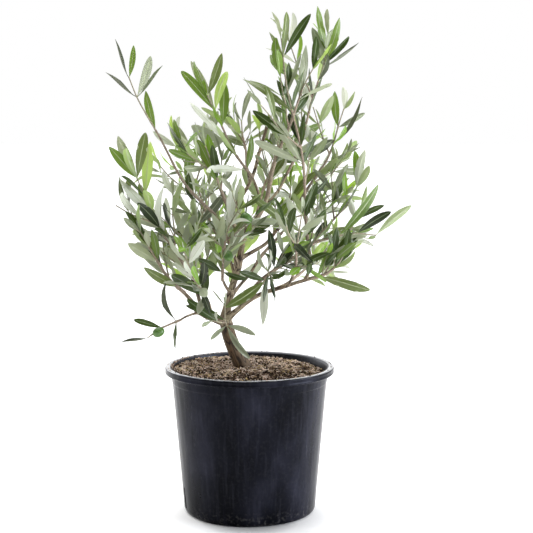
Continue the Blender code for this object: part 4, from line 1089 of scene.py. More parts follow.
def grow_finer(growth, number, crowd):
    """Small twigs from between the leaf pairs, with their leaves, and young leaves at the tips."""
    row = growth.row
    rng = random.Random(FINE_SEED + number)
    marks = [leaf_middle(leaf, place) for leaf, _ in growth.leaves for place in REACH_PLACES]
    near = KDTree(len(marks))
    for index, mark in enumerate(marks):
        near.insert(mark, index)
    near.balance()

    def fits(point):
        return within_crown(point) and near.find(point)[2] < REACH

    def try_leaf(node, side, length):
        for attempt in range(FINE_TRIES):
            swing = Matrix.Rotation(rng.uniform(-FINE_SWING, FINE_SWING) * attempt, 3, node.along)
            leaf = seeded_leaf(node, swing @ side, length, rng)
            if fits(leaf_middle(leaf, 1.0)) and crowd.takes_leaf(row.name, leaf):
                growth.fine_leaves.append((leaf, node.place))
                crowd.add(row.name, leaf_shape(leaf))
                return

    ahead, upward = FINE_HEADING
    for limb in [growth.stem] + growth.twigs:
        for node in nodes_along(limb, FINE_FIRST, row.roll + PAIR_TURN / 2):
            if rng.random() > row.finer:
                continue
            way = rng.choice((1, -1))
            for attempt in range(FINE_TRIES):
                turn = Matrix.Rotation(math.tau * rng.random() * min(attempt, 1), 3, node.along)
                heading = (node.along * ahead + turn @ node.side * way + UP * upward).normalized()
                tip = node.point + heading * rng.uniform(*FINE_LENGTHS)
                twig = bowed_limb(node.point, tip, UP * -FINE_SAG * MM, FINE_LENGTHS[0] / 3,
                                  (FINE_RADIUS, FINE_TIP_RADIUS), TWIG_SIDES, rng)
                if fits(tip) and crowd.takes_twig(row.name, twig):
                    growth.fine_twigs.append(twig)
                    crowd.add(row.name, twig.shape())
                    break
    for twig in growth.fine_twigs:
        pairs = max(1, round((twig.path[-1] - twig.path[0]).length / FINE_INTERNODE))
        for pair in range(pairs):
            place = (pair + 1) / pairs
            point, along = point_at(twig.path, place * FINE_END)
            side = Matrix.Rotation(math.radians(row.roll + PAIR_TURN * pair), 3, along)
            side = side @ FRONT.cross(along).normalized()
            size = rng.uniform(*FINE_LEAVES) * MM
            for way in (1, -1):
                try_leaf(Node(point, along, side, place), side * way, size)
    for limb in [growth.stem] + growth.twigs:
        point, along = point_at(limb.path, FINE_END)
        side = FRONT.cross(along).normalized()
        side = Matrix.Rotation(math.radians(rng.uniform(0, 360)), 3, along) @ side
        for way in (1, -1):
            close = (along + side * way * TIP_OPENING).normalized()
            try_leaf(Node(point, along, side, 1.0), close, rng.uniform(*TIP_LEAVES) * MM)


def placed(name, data):
    """A new object in the scene that shows a mesh, a light or a camera."""
    item = bpy.data.objects.new(name, data)
    bpy.context.scene.collection.objects.link(item)
    return item


class Builder:
    """Collects vertices, faces and the slot of each face for one joined piece."""

    def __init__(self, name, finishes, slots):
        self.name = name
        self.finishes = [finishes[slot] for slot in slots]
        self.slots = {slot: index for index, slot in enumerate(slots)}
        self.verts = []
        self.faces = []
        self.marks = []

    def add(self, verts, faces, marks=0):
        """Vertices as an array or list, faces of indices from 0, and a slot for each or for all."""
        base = len(self.verts)
        self.verts.extend(tuple(vert) for vert in verts)
        self.faces.extend(tuple(index + base for index in face) for face in faces)
        self.marks.extend([marks] * len(faces) if isinstance(marks, int) else marks)

    def make(self, sharp=None):
        """The piece in the scene, smooth but for edges over the sharp angle in degrees."""
        mesh = bpy.data.meshes.new(self.name)
        mesh.from_pydata(self.verts, [], self.faces)
        for finish in self.finishes:
            mesh.materials.append(finish)
        mesh.polygons.foreach_set("material_index", self.marks)
        mesh.polygons.foreach_set("use_smooth", [True] * len(self.faces))
        mesh.update()
        if sharp is not None:
            mesh.set_sharp_from_angle(angle=math.radians(sharp))
        return placed(self.name, mesh)


def leaf_template():
    """Faces of the fine leaf, and for each the kind of slot: top, under, rib or stalk."""
    faces = ring_faces(len(LEAF_PLACES), len(RING))
    kinds = []
    for place in LEAF_PLACES[1:]:
        kinds += ["stalk"] * len(RING) if place <= PETIOLE else RING_SLOTS
    for base, kind in ((0, "stalk"), ((len(LEAF_PLACES) - 1) * len(RING), "top")):
        for corners in RING_ENDS:
            face = tuple(base + index for index in corners)
            faces.append(face[::-1] if kind == "stalk" else face)
            kinds.append(kind)
    return faces, kinds


def fine_leaf(leaf, look):
    """The vertices of a leaf in its own outline, folded along its midrib and gently curved."""
    place = np.array(LEAF_PLACES)
    across_share, layer = np.array(RING).T
    along = np.array(leaf.along)
    face = np.array(leaf.face)
    across = np.cross(along, face)
    across /= np.linalg.norm(across)
    lift = leaf.length * (leaf.bend * place ** 2 + look.curl * place ** 5)
    slope = 2 * leaf.bend * place + 5 * look.curl * place ** 4
    centre = np.array(leaf.root) + np.outer(leaf.length * place, along) + np.outer(lift, face)
    centre += np.outer(leaf.length * look.sweep * 4 * place * (1 - place), across)
    tangent = along + np.outer(slope, face)
    tangent /= np.linalg.norm(tangent, axis=1)[:, None]
    normal = np.cross(across, tangent)
    turn = look.twist * (place - TWIST_FROM)
    side = np.cos(turn)[:, None] * across + np.sin(turn)[:, None] * normal
    up = np.cos(turn)[:, None] * normal - np.sin(turn)[:, None] * across
    blade = np.clip((place - PETIOLE) / (1 - PETIOLE), 0, 1)
    widest = BASE_POWER / (BASE_POWER + look.tip)
    outline = (blade / widest) ** BASE_POWER * ((1 - blade) / (1 - widest)) ** look.tip
    least = np.where(place <= PETIOLE, STALK_HALF, POINT_HALF)
    half = np.maximum(leaf.width / 2 * look.width * outline, least)
    off = np.abs(across_share)
    rise = np.outer(half * outline, off) * look.fold
    rise -= np.outer(half * outline, off ** 4) * look.roll
    wave = np.sin(math.tau * (place * RIPPLE_WAVES + look.phase)) * outline
    rise += np.outer(half * wave, off ** 2 * np.sign(across_share)) * look.ripple
    thick = np.where(place <= PETIOLE, STALK_HALF, BLADE_THICKNESS / 2)
    rise += np.outer(thick, layer * (1 - EDGE_THINNING * off))
    rib = np.where(off < RIB_WITHIN, np.where(layer > 0, -RIB_GROOVE, -RIB_RIDGE), 0)
    rise += np.outer((1 - place * RIB_FADE) * outline ** 0.5, rib)
    verts = centre[:, None, :] + side[:, None, :] * np.outer(half, across_share)[:, :, None]
    verts += up[:, None, :] * rise[:, :, None]
    return verts.reshape(-1, 3)


def look_for(row, place, edge_on, rng):
    """The seeded looks of one leaf of a mass: younger towards the tip of its twig."""
    weights = SPRAYS[row.spray]
    if place > YOUNG_FROM:
        weights = [0] + [weight + YOUNGER if weight else 0 for weight in weights[1:]]
    tint = rng.choices(list(TINTS), weights)[0]
    width = row.width * rng.uniform(*FINE_WIDTHS)
    fold = rng.uniform(*FOLDS)
    curl = rng.uniform(*CURLS)
    curled = rng.random() < CURLED_SHARE
    if edge_on:
        tint = rng.choice(list(EDGE_TINTS))
    if curled or edge_on:
        fold = rng.uniform(*CURLED_FOLDS)
        width *= CURLED_WIDTH
    if curled and not edge_on:
        curl = rng.uniform(*CURLED_CURLS)
    return LeafLook(fold, rng.uniform(*ROLLS), rng.uniform(*TWISTS), rng.uniform(*RIPPLES),
                    rng.random(), curl, rng.uniform(*SWEEPS), rng.uniform(*TIP_POWERS), width,
                    tint)


def turned_over(leaf):
    """The leaf in its place with its other side up."""
    return leaf._replace(face=-leaf.face, bend=-leaf.bend)


def turned_out(leaf, share, rng):
    """The leaf in its place, most often with its upper side up and away from the crown's axis."""
    outward = leaf_middle(leaf, 0.5) - CROWN_AXIS
    outward = Vector((outward.x, outward.y, 0)).normalized() + UP * TURNED_UP
    return turned_over(leaf) if leaf.face.dot(outward) < 0 and rng.random() < share else leaf


def stated_look(row, leaf):
    """The tint and the front side stated for a leaf that reaches one of its mass's tips."""
    for tip in row.tips:
        if len(tip) > 4 and (leaf_middle(leaf, 1.0) - millimetres(tip)).length < SAME_TIP:
            return tip[4].split()
    return None


def shown(leaf, side):
    """The leaf in its place with the stated side, top or under, to the front."""
    to_front = leaf.face.dot(FRONT) > 0
    return leaf if to_front == (side == "top") else turned_over(leaf)


def smooth_limb(limb, step, lead=0.0):
    """Points and radii along a limb's curve, closer together, from a little before its foot."""
    path = limb.path
    ends = [path[0] * 2 - path[1]] + list(path) + [path[-1] * 2 - path[-2]]
    points = []
    radii = []
    last = len(path) - 1
    for index in range(last):
        before, start, end, after = ends[index:index + 4]
        count = max(1, round((end - start).length / step))
        for number in range(count):
            t = number / count
            points.append(0.5 * (2 * start + (end - before) * t
                                 + (2 * before - 5 * start + 4 * end - after) * t ** 2
                                 + (3 * start - before - 3 * end + after) * t ** 3))
            radii.append(limb.radius_at((index + t) / last))
    points.append(path[-1].copy())
    radii.append(limb.radii[-1])
    if lead:
        points.insert(0, points[0] - (points[1] - points[0]).normalized() * lead)
        radii.insert(0, radii[0])
    return points, radii


def leaf_piece(growths, group, finishes):
    """The joined leaves of one group of masses."""
    sides = [f"{tint}_{side}" for tint in (*TINTS, *EDGE_TINTS) for side in ("top", "under")]
    slots = sides + ["rib", "rib_dark", "rib_under", "stalk"]
    builder = Builder(f"leaves_{group}", finishes, slots)
    faces, kinds = leaf_template()
    for growth in growths:
        rng = random.Random(f"{SEED} foliage_{growth.row.name}")
        for leaf, place in growth.leaves + growth.fine_leaves:
            look = look_for(growth.row, place, leaf.bend == EDGE_ON_BEND, rng)
            posed = turned_out(leaf, TURNED_OUT[growth.row.spray], rng)
            stated = stated_look(growth.row, leaf)
            if stated:
                look = look._replace(tint=stated[0])
                posed = shown(leaf, stated[1])
            names = {"rib": "rib_dark" if look.tint in DARK_TINTS else "rib",
                     "rib_under": "rib_under", "stalk": "stalk",
                     "top": f"{look.tint}_top", "under": f"{look.tint}_under"}
            if look.tint in EDGE_TINTS:
                names["rib"] = names["rib_under"] = names["stalk"] = names["under"]
            marks = [builder.slots[names[kind]] for kind in kinds]
            builder.add(fine_leaf(posed, look), faces, marks)
    return builder.make(LEAF_SHARP)


def add_twig(builder, points, radii, sides, nodes):
    """A round twig, swollen at its nodes, its slots from brown wood to green by its radius."""
    rounded = []
    for point, radius in zip(points, radii):
        swells = [math.exp(-((point - node.point).length / NODE_REACH) ** 2) for node in nodes]
        rounded.append(radius * (1 + NODE_SWELL * max(swells, default=0)))
    verts, faces = tube(points, rounded, sides)
    marks = []
    for radius in radii[:-1]:
        marks += [(radius <= OLD_TWIG_OVER) + (radius <= GREEN_TWIG_UNDER)] * sides
    builder.add(verts, faces, marks + [marks[0], marks[-1]])


def twig_piece(growths, finishes):
    """The joined stems, twigs and fruit stalks of every mass."""
    builder = Builder("twigs", finishes, ("old_twig", "twig", "young_twig"))
    for growth in growths:
        limbs = [(growth.stem, STEM_LOOK)]
        limbs += [(twig, TWIG_LOOK) for twig in growth.twigs]
        limbs += [(twig, FINE_LOOK) for twig in growth.fine_twigs]
        for limb, (sides, lead, first) in limbs:
            points, radii = smooth_limb(limb, TWIG_MESH_STEP, lead)
            radii = [radius * (TWIG_SWELL - TWIG_THINNING * index / (len(radii) - 1))
                     for index, radius in enumerate(radii)]
            add_twig(builder, points, radii, sides, nodes_along(limb, first, 0))
        for stalk, _, _ in growth.olives:
            add_twig(builder, *smooth_limb(stalk, STALK_MESH_STEP), STALK_SIDES, [])
    return builder.make(TWIG_SHARP)


def olive_piece(growths, finishes):
    """The joined olives: egg-shaped, with a dimple at the stalk and a blunt point."""
    builder = Builder("olives", finishes, ("olive", "olive_stalk"))
    rings, sides = OLIVE_MESH
    for _, centre, axis in [olive for growth in growths for olive in growth.olives]:
        side = axis.orthogonal().normalized()
        third = axis.cross(side)
        verts = []
        for ring in range(rings):
            turn = math.pi * (ring + OLIVE_FIRST_RING) / (rings - 1 + 2 * OLIVE_FIRST_RING)
            place = -math.cos(turn)
            half = OLIVE_WIDTH / 2 * math.sqrt(max(1 - place * place, 0)) ** OLIVE_FULLNESS
            half *= 1 - OLIVE_POINT * place
            reach = place * OLIVE_LENGTH / 2
            if place < DIMPLE_FROM:
                reach += (DIMPLE_FROM - place) * DIMPLE_DEPTH
            for x, y in circle(sides):
                offset = side * x + third * y
                dent = 1 + OLIVE_DENTS[0] * noise.noise((centre + offset * half) * OLIVE_DENTS[1])
                verts.append(centre + axis * reach + offset * half * dent)
        faces = closed_faces(rings, sides)
        marks = [1] * sides + [0] * (len(faces) - sides)
        marks[-2] = 1
        builder.add(verts, faces, marks)
    return builder.make()


def evaluated(item):
    """The mesh of an object with its modifiers carried out, put in place of its own."""
    graph = bpy.context.evaluated_depsgraph_get()
    graph.update()
    mesh = bpy.data.meshes.new_from_object(item.evaluated_get(graph))
    item.modifiers.clear()
    old = item.data
    item.data = mesh
    bpy.data.meshes.remove(old)


def bark_tubes(limbs):
    """Close-set tubes for the trunk and boughs, with a collar where each leaves its carrier."""
    points, radii = smooth_limb(limbs["trunk"], BARK_STEP, FOOT_IN_SOIL)
    verts, faces = tube(points, radii, TRUNK_BARK_SIDES, UP)
    tubes = [(flare_roots(verts, BARK_FLARE), faces, points, radii)]
    for row in BOUGHS:
        points, radii = smooth_limb(limbs[row.name], BARK_STEP, BARK_STEP if continues(row) else 0.0)
        start = limbs[row.carrier].radius_at(row.place)
        swollen = []
        travelled = 0.0
        for index, radius in enumerate(radii):
            if index:
                travelled += (points[index] - points[index - 1]).length
            if continues(row):
                joined = (start - radii[0]) * math.exp(-travelled / (JOIN_REACH * start))
                swollen.append(radius + max(joined, 0))
            else:
                beyond = max(travelled - start, 0)
                swollen.append(radius * (1 + COLLAR * math.exp(-beyond / (COLLAR_REACH * radius))))
        tubes.append((*tube(points, swollen, BARK_SIDES), points, radii))
    return tubes


def bark_piece(limbs, finishes):
    """The trunk and boughs grown into one another, with the bark's relief."""
    tubes = bark_tubes(limbs)
    builder = Builder("bark", finishes, ("bark",))
    for verts, faces, _, _ in tubes:
        builder.add(verts, faces)
    item = builder.make()
    fuse = item.modifiers.new("fuse", "REMESH")
    fuse.mode = "VOXEL"
    fuse.voxel_size = BARK_VOXEL
    evaluated(item)
    even = item.modifiers.new("even", "SMOOTH")
    even.factor, even.iterations = BARK_SMOOTHING
    evaluated(item)
    carve_bark(item.data, tubes)
    item.data.polygons.foreach_set("use_smooth", [True] * len(item.data.polygons))
    return item


def carve_bark(mesh, tubes):
    """Move the bark's surface by furrows that run along each limb, and keep their depth."""
    tree = KDTree(sum(len(points) for _, _, points, _ in tubes))
    marks = []
    for number, (_, _, points, radii) in enumerate(tubes):
        travelled = 0.0
        for index, point in enumerate(points):
            if index:
                travelled += (point - points[index - 1]).length
            tree.insert(point, len(marks))
            marks.append((point, direction_at(points, index), radii[index], travelled, number))
    tree.balance()
    even, lumps, grain, furrows = BARK_LEVELS
    depths = []
    ages = []
    moved = []
    for vert in mesh.vertices:
        point, along, radius, travelled, number = marks[tree.find(vert.co)[1]]
        offset = vert.co - point
        rise = offset.dot(along)
        across = offset - along * rise
        place = across + BARK_SHIFT * number * BARK_SHIFT_STEP
        place += along * (travelled + rise) * BARK_STRETCH
        place -= along * along.dot(across)
        wide, crack, fine = (noise.noise(place * scale) for scale in BARK_SCALES)
        furrow = 1 - min(abs(crack) / FURROW_HALF, 1.0)
        depth = even + lumps * wide + grain * fine - furrows * furrow
        depths.append(depth)
        ages.append((radius - OLD_BARK_FROM) / (OLD_BARK_AT - OLD_BARK_FROM))
        swell = min(radius, OLD_BARK_AT) * BARK_RELIEF * (depth - BARK_EVEN)
        moved.extend(vert.co + vert.normal * swell)
    mesh.vertices.foreach_set("co", moved)
    for name, values in (("bark_depth", depths), ("bark_age", ages)):
        mesh.attributes.new(name, "FLOAT", "POINT").data.foreach_set("value", values)
    mesh.update()


def softened(profile, cut, steps):
    """A profile with its corners rounded over, each by a short curve."""
    points = [profile[0]]
    for before, corner, after in zip(profile, profile[1:], profile[2:]):
        here = Vector(corner)
        back = Vector(before) - here
        ahead = Vector(after) - here
        start = here + back.normalized() * min(cut, back.length * CORNER_SHARE)
        end = here + ahead.normalized() * min(cut, ahead.length * CORNER_SHARE)
        for step in range(steps + 1):
            t = step / steps
            points.append(tuple(start * (1 - t) ** 2 + here * 2 * t * (1 - t) + end * t ** 2))
    points.append(profile[-1])
    return points


def turned(profile, sides):
    """Vertices and faces of a closed solid turned about +Z; the profile starts and ends on it.

    A row of the profile is a radius and a height, or a radius and the function of x and y that
    gives the height there.
    """
    verts = []
    for index, (radius, height) in enumerate(profile):
        pole = index in (0, len(profile) - 1)
        for x, y in [(0, 0)] if pole else circle(sides):
            place = (radius * x, radius * y)
            verts.append(Vector((*place, height(*place) if callable(height) else height)))
    return verts, poled_faces(len(profile) - 2, sides)


def wall_radius(height):
    """The pot's outer radius at a height, below the rim."""
    return BASE_RADIUS + (TOP_RADIUS - BASE_RADIUS) * height / POT_HEIGHT


def pot_profile():
    """The pot's outline, from the middle of its underside out, up, over the rim and back in."""
    under_rim = POT_HEIGHT - RIM_DEPTH
    ring_outer = BASE_RADIUS - BASE_BEVEL
    ring_inner = ring_outer - FOOT_RING_WIDTH
    floor_top = RECESS + WALL
    low = BASE_BEVEL * 1.4
    rise = under_rim - WALL_DROP - low
    heights = [low + rise * step / WALL_RINGS for step in range(WALL_RINGS + 1)]
    underside = ((0, 0), (CENTRE_PAD_RADIUS, 0), (CENTRE_PAD_RADIUS + RECESS, RECESS),
                 (ring_inner - RECESS, RECESS), (ring_inner, 0), (ring_outer, 0),
                 (BASE_RADIUS - BASE_BEVEL * 0.3, BASE_BEVEL * 0.35))
    band = [(wall_radius(under_rim - drop) + BAND_RISE, under_rim - drop)
            for drop in BAND_DROPS]
    rim = ((wall_radius(under_rim) + RIM_LIP, under_rim + 1 * MM),
           (RIM_RADIUS - RIM_LIP, under_rim),
           (RIM_RADIUS, under_rim + RIM_LIP),
           (RIM_RADIUS - RIM_WAIST, POT_HEIGHT - RIM_DEPTH * 0.55),
           (RIM_RADIUS, POT_HEIGHT - RIM_ROLL),
           (RIM_RADIUS - RIM_ROLL * 0.35, POT_HEIGHT - RIM_ROLL * 0.3),
           (RIM_RADIUS - RIM_ROLL, POT_HEIGHT),
           (RIM_RADIUS - RIM_INNER, POT_HEIGHT - GAP))
    inside = ((wall_radius(under_rim) - WALL + 1.2 * MM, POT_HEIGHT - RIM_STEP),
              (wall_radius(under_rim) - WALL, under_rim - RIM_STEP),
              (wall_radius(floor_top + FLOOR_CORNER) - WALL, floor_top + FLOOR_CORNER),
              (wall_radius(floor_top) - WALL - FLOOR_CORNER, floor_top),
              (0, floor_top))
    wall = [(wall_radius(height), height) for height in heights]
    return (*underside, *wall, *band, *rim, *inside)


def pot_mark(corners):
    """The slot of a face of the pot: the wall's, the rim's, or the inner wall's, which is flecked
    paler.
    """
    lowest = min(corner.z for corner in corners)
    if lowest > RIM_GLOSS_FROM:
        return 1
    first, second, third = corners[:3]
    facing = (second - first).cross(third - first)
    outward = Vector((first.x, first.y, 0))
    return 2 if lowest > INSIDE_FROM and facing.dot(outward) < 0 else 0


def pot_piece(finishes):
    """The pot, smoothly round, with the side slots and drain holes of its solid."""
    builder = Builder("planter", finishes, POT_FINISHES)
    verts, faces = turned(softened(pot_profile(), POT_CORNER, CORNER_STEPS), POT_SIDES)
    builder.add(verts, faces, [pot_mark([verts[index] for index in face]) for face in faces])
    pot = builder.make()
    for shape in drain_shapes():
        mesh = bpy.data.meshes.new("cutter")
        mesh.from_pydata([tuple(vert) for vert in shape[0]], [], shape[1])
        cutter = placed("cutter", mesh)
        cut = pot.modifiers.new("drain", "BOOLEAN")
        cut.operation = "DIFFERENCE"
        cut.solver = "EXACT"
        cut.object = cutter
        evaluated(pot)
        bpy.data.objects.remove(cutter, do_unlink=True)
    pot.data.set_sharp_from_angle(angle=math.radians(POT_SHARP))
    return pot


def drain_shapes():
    """Round cutters for the floor and tapering boxes for the slots low on both sides."""
    shapes = []
    for number in range(DRAIN_HOLES):
        angle = math.tau * (number + 0.5) / DRAIN_HOLES
        centre = Vector((math.cos(angle), math.sin(angle), 0)) * DRAIN_RING_RADIUS
        path = [centre + UP * RECESS / 3, centre + UP * (RECESS + WALL * 2)]
        shapes.append(tube(path, [DRAIN_HOLE_RADIUS] * 2, DRAIN_SIDES))
    turn = Matrix.Rotation(math.radians(SLOT_TURN), 3, UP)
    foot = SLOT_WIDTH / 2
    top = foot * SLOT_TAPER
    corners = ((-foot, SLOT_FOOT), (foot, SLOT_FOOT), (top, SLOT_TOP), (-top, SLOT_TOP))
    for way in (-1, 1):
        inner = way * (wall_radius(SLOT_FOOT) - WALL * 4)
        outer = way * (wall_radius(SLOT_TOP) + WALL)
        verts = [turn @ Vector((x, y, z)) for x in (inner, outer) for y, z in corners]
        faces = [(0, 3, 2, 1), (4, 5, 6, 7), (0, 1, 5, 4), (1, 2, 6, 5), (2, 3, 7, 6), (3, 0, 4, 7)]
        shapes.append((verts, [face[::way] for face in faces]))
    return shapes


def soil_relief(x, y):
    """How far the compost's lumps and hollows rise above its even surface at a place."""
    place = Vector((x, y, 0))
    return sum(rise * noise.noise(place * scale) for rise, scale in SOIL_ROUGHNESS)


def dryness_and_shade(x, y):
    """How pale the compost is at a place, from 0 to 1: in dry and damp patches, darker towards the
    front, and darker in its hollows as painted shade.
    """
    patch = noise.noise(Vector((x, y, 0.05)) * PATCH_SCALE)
    paleness = DRYNESS + PATCH_TONE * patch + BACK_TONE * y / TOP_RADIUS + LUMP_SHADE_TONE * soil_relief(x, y)
    return min(max(paleness, 0.0), 1.0)


def drawn(rng, dry_weights, damp_and_shade_weights, paleness):
    """A seeded draw from the finishes, between the weights of pale compost and of dark compost, which
    stands for damp patches and painted shade.
    """
    weights = [damp_and_shade + (usual - damp_and_shade) * paleness
               for usual, damp_and_shade in zip(dry_weights.values(), damp_and_shade_weights)]
    return rng.choices(range(len(weights)), weights)[0]


def soil_level(x, y):
    """The height of the compost's surface at a place, before the loose crumbs."""
    away = math.hypot(x, y)
    edge = wall_radius(SOIL_EDGE) - WALL - GAP
    share = min(away / edge, 1.0)
    dome = SOIL_EDGE + (SOIL_TOP - SOIL_EDGE) * (1 - share ** DOME_POWER)
    dip = WALL_DIP * math.exp(-((edge - away) / WALL_DIP_WIDTH) ** 2)
    turn = math.atan2(y, x)
    slump = SLUMP * max(math.cos(turn - SLUMP_TOWARDS), 0.0) ** 2
    heap = HEAP * max(math.cos(turn - HEAP_TOWARDS), 0.0) ** 2
    return dome + soil_relief(x, y) - dip + (heap - slump) * share ** TILT_POWER


def soil_bed(finishes):
    """The compost's body, with a rough top, filling the pot."""
    builder = Builder("compost", finishes, ("soil",))
    foot = RECESS + WALL + GAP
    edge = wall_radius(SOIL_EDGE) - WALL - GAP
    corner = foot + FLOOR_CORNER
    profile = [(0, foot), (wall_radius(foot) - WALL - FLOOR_CORNER - GAP * 2, foot),
               (wall_radius(corner) - WALL - GAP * 1.5, corner)]
    profile += [(edge * (1 - ring / SOIL_RINGS), soil_level) for ring in range(SOIL_RINGS)]
    builder.add(*turned(profile + [(0, soil_level)], SOIL_SIDES))
    return builder.make()


def lump(rng, size, detail):
    """An irregular crumb about the origin."""
    work = bmesh.new()
    bmesh.ops.create_icosphere(work, subdivisions=detail, radius=1.0)
    shift = Vector([rng.uniform(0, 50) for _ in range(3)])
    stretch = Vector([rng.uniform(*reach) for reach in CRUMB_STRETCHES])
    for vert in work.verts:
        bump = 1 + CRUMB_BUMPS[0] * noise.noise(vert.co * CRUMB_BUMPS[1] + shift)
        vert.co = vert.co * stretch * bump * size
    turn = Matrix.Rotation(rng.uniform(0, math.tau), 3, Vector((rng.random(), rng.random(), 1)))
    verts = [turn @ vert.co for vert in work.verts]
    faces = [tuple(vert.index for vert in face.verts) for face in work.faces]
    work.free()
    return verts, faces


def seeded_place(rng, reach):
    """A place on the compost, spread evenly over it."""
    away = reach * math.sqrt(rng.random())
    angle = rng.uniform(0, math.tau)
    return away * math.cos(angle), away * math.sin(angle)


def soil_crumbs(finishes):
    """Loose crumbs, bark chips and grit on the compost, and a few on the pot's rim."""
    rng = random.Random(CRUMB_SEED)
    builder = Builder("compost_crumbs", finishes, DRY_CRUMBS)
    edge = wall_radius(SOIL_EDGE) - WALL - CRUMB_EDGE
    for number in range(SMALL_CRUMBS + LARGE_CRUMBS):
        large = number >= SMALL_CRUMBS
        size = rng.uniform(*(LARGE_CRUMB if large else SMALL_CRUMB))
        x, y = seeded_place(rng, edge - size)
        verts, faces = lump(rng, size, 2 if large else 1)
        centre = Vector((x, y, soil_level(x, y) + size * rng.uniform(*CRUMB_RISES)))
        mark = drawn(rng, DRY_CRUMBS, DAMP_AND_SHADE_CRUMBS, dryness_and_shade(x, y))
        builder.add([vert + centre for vert in verts], faces, mark)
    for number in range(RIM_CRUMBS + SPILT_CRUMBS):
        angle = rng.uniform(0, math.tau)
        away = RIM_RADIUS - rng.uniform(*RIM_BAND) * MM
        if number >= RIM_CRUMBS:
            angle = rng.gauss(HEAP_TOWARDS, SPILT_SPREAD)
            away = edge + abs(rng.gauss(0, SPILT_REACH))
        size = rng.uniform(*SPILT_CRUMB) * MM
        away = min(away, RIM_RADIUS - RIM_BAND[0] * MM)
        height = POT_HEIGHT + size * RIM_CRUMB_RISE
        centre = Vector((away * math.cos(angle), away * math.sin(angle), height))
        verts, faces = lump(rng, size, 1)
        builder.add([vert + centre for vert in verts], faces, rng.randrange(RIM_CRUMB_KINDS))
    return builder.make()


def soil_fibres(finishes):
    """Bent fibres and rootlets that lie over the compost."""
    rng = random.Random(FIBRE_SEED)
    builder = Builder("compost_fibres", finishes, DRY_FIBRES)
    edge = wall_radius(SOIL_EDGE) - WALL - FIBRE_EDGE
    for _ in range(FIBRES):
        x, y = seeded_place(rng, edge)
        heading = rng.uniform(0, math.tau)
        curl = rng.uniform(-FIBRE_CURL, FIBRE_CURL)
        length = rng.uniform(*FIBRE_LENGTHS)
        lift = rng.uniform(*FIBRE_LIFTS)
        mark = drawn(rng, DRY_FIBRES, DAMP_AND_SHADE_FIBRES, dryness_and_shade(x, y))
        path = []
        for step in range(FIBRE_STEPS + 1):
            rise = lift * math.sin(math.pi * step / FIBRE_STEPS)
            path.append(Vector((x, y, soil_level(x, y) + rise + FIBRE_CLEAR)))
            heading += curl / FIBRE_STEPS
            x += math.cos(heading) * length / FIBRE_STEPS
            y += math.sin(heading) * length / FIBRE_STEPS
            if math.hypot(x, y) > edge:
                break
        if len(path) >= 3:
            radius = rng.uniform(*FIBRE_RADII)
            radii = tapering(len(path), radius, radius * FIBRE_TAPER)
            builder.add(*tube(path, radii, FIBRE_SIDES), mark)
    return builder.make(FIBRE_SHARP)


def feed(tree, node, inputs):
    """Each named or numbered input of a node set to a constant, or fed from another's output."""
    for name, value in inputs.items():
        if isinstance(value, bpy.types.NodeSocket):
            tree.links.new(value, node.inputs[name])
        else:
            node.inputs[name].default_value = value
    return node


def added(tree, kind, inputs=None):
    """A new node of a kind in a tree, with its inputs."""
    return feed(tree, tree.nodes.new(f"ShaderNode{kind}"), inputs or {})


def new_finish(name, colour, roughness, gloss=0.5):
    """A Principled material, its nodes to add to and its shader."""
    finish = bpy.data.materials.new(name)
    finish.use_nodes = True
    tree = finish.node_tree
    shader = feed(tree, tree.nodes["Principled BSDF"], {
        "Base Color": (*colour, 1), "Roughness": roughness, "Specular IOR Level": gloss})
    return finish, tree, shader


def noise_node(tree, scale, detail, stretch=(1, 1, 1)):
    """Noise in the object's own coordinates, stretched if asked."""
    place = added(tree, "TexCoord").outputs["Object"]
    mapped = added(tree, "Mapping", {"Vector": place, "Scale": stretch}).outputs["Vector"]
    return added(tree, "TexNoise", {"Vector": mapped, "Scale": scale, "Detail": detail}).outputs["Fac"]


def range_node(tree, value, inputs):
    """A value carried from one range to another."""
    return added(tree, "MapRange", {"Value": value, **inputs}).outputs["Result"]


def ramp_node(tree, source, stops):
    """Colours along a ramp, driven by a value."""
    ramp = added(tree, "ValToRGB", {"Fac": source})
    elements = ramp.color_ramp.elements
    for element, (position, colour) in zip(elements, (stops[0], stops[-1])):
        element.position = position
        element.color = (*colour, 1)
    for position, colour in stops[1:-1]:
        elements.new(position).color = (*colour, 1)
    return ramp.outputs["Color"]


def mix_node(tree, share, first, second, blend):
    """Two colours mixed by a value or a constant share."""
    mix = added(tree, "Mix")
    mix.data_type = "RGBA"
    mix.blend_type = blend
    return feed(tree, mix, {0: share, 6: first, 7: second}).outputs[2]


def bump_node(tree, height, strength, distance, shader):
    """Relief on the shader's normal from a height, over any relief that it has already."""
    bump = added(tree, "Bump", {"Height": height, "Strength": strength, "Distance": distance})
    for link in shader.inputs["Normal"].links:
        feed(tree, bump, {"Normal": link.from_socket})
    feed(tree, shader, {"Normal": bump.outputs["Normal"]})


def grained_finish(name, colour, roughness):
    """A surface with the relief of its grain, and on wood with a tone that varies by it too."""
    loose = name in DRY_CRUMBS or name in DRY_FIBRES
    finish, tree, shader = new_finish(name, colour, roughness, 0.05 if loose else 0.5)
    texture = noise_node(tree, GRAIN, 4)
    if name in WOOD:
        shades = [(place, [tone * value for value in colour]) for place, tone in GRAIN_TONES]
        feed(tree, shader, {"Base Color": ramp_node(tree, texture, shades)})
    bump_node(tree, texture, *GRAIN_RELIEF, shader)
    return finish


